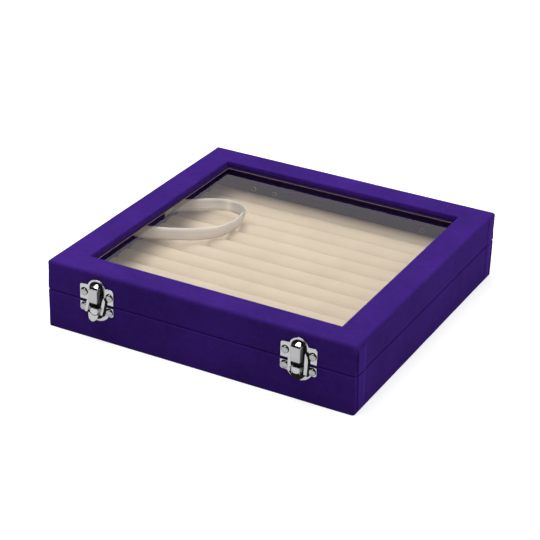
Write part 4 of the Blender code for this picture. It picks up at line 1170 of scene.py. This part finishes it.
NOSE_PROFILE = (
    # out from the front, up, half width: from the foot inside the hood over the top to the plate
    (5.5, 9.6, 2.75), (5.45, 10.8, 2.75), (5.2, 11.6, 2.75), (4.85, 12.15, 2.75), (4.35, 12.65, 2.72),
    (3.5, 13.05, 2.65), (2.6, 13.45, 2.5), (1.9, 13.8, 2.25), (1.3, 14.15, 1.9), (0.9, 14.5, 1.5),
)
NOSE_STEPS = 14
NOSE_SIDE_DROP, NOSE_SIDE_POWER = 1.0, 3
NOSE_LEAST_OUT, NOSE_BACK = 0.6, 0.45


def nose_row(i):
    """Points across the nose, which falls off to its sides, with their feet on the plate."""
    out, up, half = NOSE_PROFILE[i]
    before, after = NOSE_PROFILE[max(0, i - 1)], NOSE_PROFILE[min(len(NOSE_PROFILE) - 1, i + 1)]
    along = Vector((after[0] - before[0], after[1] - before[1])).normalized()
    inward = Vector((-along.y, along.x))
    row = []
    for k in range(NOSE_STEPS + 1):
        share = -1 + 2 * k / NOSE_STEPS
        drop = NOSE_SIDE_DROP * (1 - math.sqrt(1 - 0.97 * abs(share) ** NOSE_SIDE_POWER))
        row.append((share * half, up + inward.y * drop, max(NOSE_LEAST_OUT, out + inward.x * drop)))
    return [(*row[0][:2], NOSE_BACK), *row, (*row[-1][:2], NOSE_BACK)]


def nose(name, side, material):
    """The lid plate's rounded nose, which the hood hooks over."""
    bm = bmesh.new()
    rows = [[latch_point(side, *p) for p in nose_row(i)] for i in range(len(NOSE_PROFILE))]
    skin(bm, rows, closed_rows=False)
    add_object(name, bm, material, "lid")


RIVET_PROFILE = (
    # radius, out from the front
    (0.0, 2.26), (0.8, 2.25), (1.4, 2.22), (1.9, 2.15), (2.25, 2.05), (2.5, 1.90), (2.62, 1.75), (2.62, 1.60),
    (1.2, 1.56), (1.2, -4.5), (2.0, -4.85), (1.9, -5.1), (1.2, -5.15), (0.0, -5.15),
)
RIVET_SEGMENTS, RIVET_ACROSS = 32, 9.9
RIVET_ROWS = (("upper", 6.2, "lid"), ("lower", -4.8, "base"))
ENDS = ((-1, "left"), (1, "right"))
# The painted shadow round a rivet head, which shows at its upper right
RIVET_SHADOW, RIVET_SHADOW_RIGHT, RIVET_SHADOW_UP = 2.95, 0.2, 0.65


def rivet(name, side, across, up, material, body):
    """A rivet turned from its profile, with its rolled end inside the wall."""
    bm = bmesh.new()
    made = []
    for i in range(RIVET_SEGMENTS):
        t = math.tau * i / RIVET_SEGMENTS
        row = [(across + r * math.cos(t), up + r * math.sin(t), out) for r, out in RIVET_PROFILE]
        made.append([bm.verts.new(latch_point(side, *p)) for p in row])
    for row, following in zip(made, made[1:] + made[:1]):
        join(bm, row, following)
    bmesh.ops.remove_doubles(bm, verts=bm.verts, dist=0.002)
    return add_object(name, bm, material, body)


def add_rivets(label, side, metals):
    for end, name in ENDS:
        for row, up, body in RIVET_ROWS:
            across = end * RIVET_ACROSS
            head = rivet(f"{label}_{row}_{name}_rivet_head", side, across, up, metals["rivet"], body)
            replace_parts(head, f"{label}_latch_{row}_{name}_rivet")
            # A ring of painted shadow behind the head
            shadow_lines = [arc(across + RIVET_SHADOW_RIGHT, up + RIVET_SHADOW_UP, RIVET_SHADOW, 0, 345, 23)]
            shadow_name = f"{label}_{row}_{name}_rivet_gap"
            outline_piece(shadow_name, side, shadow_lines, 1.2, 1.56, metals["shade_sheet"], body, bevel=0.05)


TAB = ((-1.6, 2.6), (1.6, 2.6), (1.6, 12.0), (-1.6, 12.0))
SHADE_SHEET_ACROSS, SHADE_SHEET_UP = 1.04, 1.02


def add_plates(label, side, metals):
    """The plates, sheets of painted shade in their openings, the lid plate's tab in painted shade, and its
    nose.
    """
    shade = metals["shade_sheet"]
    plates = (("top", lid_plate_lines(), "lid"), ("bottom", base_plate_lines(), "base"))
    for row, lines, body in plates:
        name = f"{label}_latch_{row}"
        plate = outline_piece(name, side, lines, PLATE_BACK, PLATE_FRONT, metals["plate"], body)
        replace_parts(plate, f"{label}_latch_{body}_plate")
    for row, lines, body in plates:
        # Sheets of painted shade fill the plates' openings
        opening = [[(a * SHADE_SHEET_ACROSS, b * SHADE_SHEET_UP) for a, b in lines[1]]]
        outline_piece(f"{label}_latch_{row}_recess", side, opening, 0.4, 1.0, shade, body, bevel=0.1)
    # The tab inside the lid plate's window is coloured with painted shade
    outline_piece(f"{label}_latch_tab", side, [TAB], 0.7, 1.4, shade, "lid")
    nose(f"{label}_latch_nose", side, metals["plate"])


# The lever's pivot, and the sizes round it
PIVOT_OUT, PIVOT_UP = 4.1, -3.3
LUG_RADIUS, LUG_ACROSS, LUG_THICK = 1.35, 3.95, 0.7
CURL_RADIUS, SIDE_ACROSS, SIDE_THICK = 1.25, 2.75, 0.5
TONGUE_HALF, TONGUE_TOP, TONGUE_ROUND_UP = 3.3, -2.2, -3.7
# Across, up: the left lever's lip shows its lit face; the right lever's bill is a sheet of painted shade for
# its hollow
LOBE = (
    (-4.5, -6.0), (-4.7, -8.6), (-4.3, -10.6), (-3.4, -12.0), (-2.1, -12.8), (-0.6, -12.6), (0.9, -11.6),
    (2.2, -10.2), (3.0, -8.6), (3.1, -6.0),
)
# Painted shade beside the left lever's lip, below the left ear
LEFT_EAR_SHADE = ((-9.2, -6.4), (-5.6, -7.0), (-4.4, -8.2), (-5.2, -9.5), (-7.6, -8.6))
RIGHT_BILL_SHADE = (
    (-6.2, -7.2), (-3.9, -8.3), (-1.5, -9.1), (1.0, -8.9), (3.7, -7.8), (7.0, -6.8), (5.4, -8.8),
    (3.8, -10.7), (2.1, -12.1), (0.4, -12.9), (-1.7, -12.7), (-4.2, -10.6), (-5.6, -8.7),
)


def lug_lines():
    """A lug's side view: out, up."""
    return [(0.5, -1.9), *arc(PIVOT_OUT, PIVOT_UP, LUG_RADIUS, 90, -90, 12), (0.5, -4.7)]


def lever_side_lines():
    foot = [(2.6, -5.2), (2.3, -6.4), (2.6, -7.3), (3.6, -7.7), (4.6, -7.4), (5.1, -6.6)]
    return [(5.2, -4.2), *arc(PIVOT_OUT, PIVOT_UP, CURL_RADIUS, 10, 270, 13), *foot]


def tongue_lines():
    """The lever's face: straight sides and a round lower end."""
    top = [(-TONGUE_HALF, TONGUE_TOP), (TONGUE_HALF, TONGUE_TOP)]
    return [top + arc(0, TONGUE_ROUND_UP, TONGUE_HALF, 0, -180, 14)]


def lip_edge_lines():
    """Painted shade: a dark line round the tongue's lower end, where the lip turns out."""
    return [arc(0, TONGUE_ROUND_UP, 4.0, 205, 330, 12) + arc(0, TONGUE_ROUND_UP, 3.55, 330, 205, 12)]


def add_lever(label, side, metals):
    lever = f"{label}_lever"
    shade, dark = metals["shade_sheet"], metals["dark"]
    for end, name in ENDS:
        side_plate(f"{label}_latch_lug_{name}", side, end * LUG_ACROSS, LUG_THICK, lug_lines(), dark, "base")
        across = end * SIDE_ACROSS
        side_plate(f"{lever}_side_{name}", side, across, SIDE_THICK, lever_side_lines(), dark, lever)
    metal = metals["plate"]
    tongue = outline_piece(f"{lever}_tongue", side, tongue_lines(), 4.4, 5.2, metal, lever, bevel=0.3)
    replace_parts(tongue, f"{label}_latch_lever")
    if side < 0:
        outline_piece(f"{lever}_bill", side, [LOBE], 4.4, 5.1, metal, lever, bevel=0.3)
        # Painted shade: the line round the tongue and the shade below the left ear
        outline_piece(f"{lever}_line", side, lip_edge_lines(), 5.0, 5.16, shade, lever, bevel=0.04)
        outline_piece(f"{label}_latch_ear_shade", side, [LEFT_EAR_SHADE], 1.3, 1.62, shade, "base", bevel=0.06)
    else:
        # The right lever's bill is a sheet of painted shade
        outline_piece(f"{lever}_bill", side, [RIGHT_BILL_SHADE], 1.9, 2.5, shade, lever, bevel=0.2)


def add_bail(label, side, metals):
    bail = f"{label}_bail"
    shade = metals["shade_sheet"]
    stance = RIGHT_STANCE if side > 0 else LEFT_STANCE
    outline_piece(f"{bail}_legs", side, leg_lines(stance), 2.5, 3.3, metals["plate"], bail)
    # Painted shade behind the legs, on the web and in the hood's mouth
    shadow_lines = leg_lines(stance, SHADOW_RIGHT, SHADOW_DOWN)
    outline_piece(f"{bail}_gap", side, shadow_lines, 1.8, 2.4, shade, bail, bevel=0.1)
    outline_piece(f"{bail}_web", side, [WEB], 1.9, 2.4, shade, bail, bevel=0.1)
    outline_piece(f"{bail}_mouth", side, [HOOD_MOUTH], 5.2, 5.5, shade, bail, bevel=0.1)
    cap = hood(f"{bail}_hood", side, metals["face"], metals["dark"], bail)
    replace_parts(cap, f"{label}_latch_bail")


def latch_metals():
    return {
        "plate": chrome(),
        "face": chrome("face_chrome", 0.60),
        "rivet": chrome("rivet_chrome", 0.52),
        # A darker, rougher copy of the chrome: painted shade on the hood's walls and top and on the lugs and
        # lever sides
        "dark": chrome("shaded_chrome", 0.55, 0.45),
        # Painted shade for the latches' hollows, gaps and openings
        "shade_sheet": painted_shade_metal(),
    }


def add_latches(metals):
    for side, label in ENDS:
        add_plates(label, side, metals)
        add_rivets(label, side, metals)
        add_lever(label, side, metals)
        add_bail(label, side, metals)


# Carried-over pieces


def refinish(material, name):
    slots = NODES[name].data.materials
    slots.clear()
    slots.append(material)


def refinish_all():
    wood, metal = fibreboard(), chrome()
    for name in NODES:
        if name.endswith(("_board", "_rail")):
            refinish(wood, name)
        elif "latch" in name or "hinge" in name:
            refinish(metal, name)
    refinish(clear_glass(), "glass_pane")
    refinish(brown_card(), "glass_gasket")
    refinish(flocked_card(), "underside_sheet")


bpy.context.scene.view_settings.view_transform = "Standard"
add_camera()
add_floor()
for softbox, facts in SOFTBOXES.items():
    add_softbox(softbox, *facts)
add_world()
refinish_all()
velvet = purple_velvet()
lid_cover(velvet)
base_cover(velvet)
dark = dark_velvet()
lining("base", BASE_LINING, dark)
add_eyelets(chrome("eyelet_metal", 0.9), dark)
add_pane_edge(brown_card(), dark)
lining("lid", LID_LINING, dark)
add_rolls(cream_suede())
add_ribbon(satin())
add_latches(latch_metals())
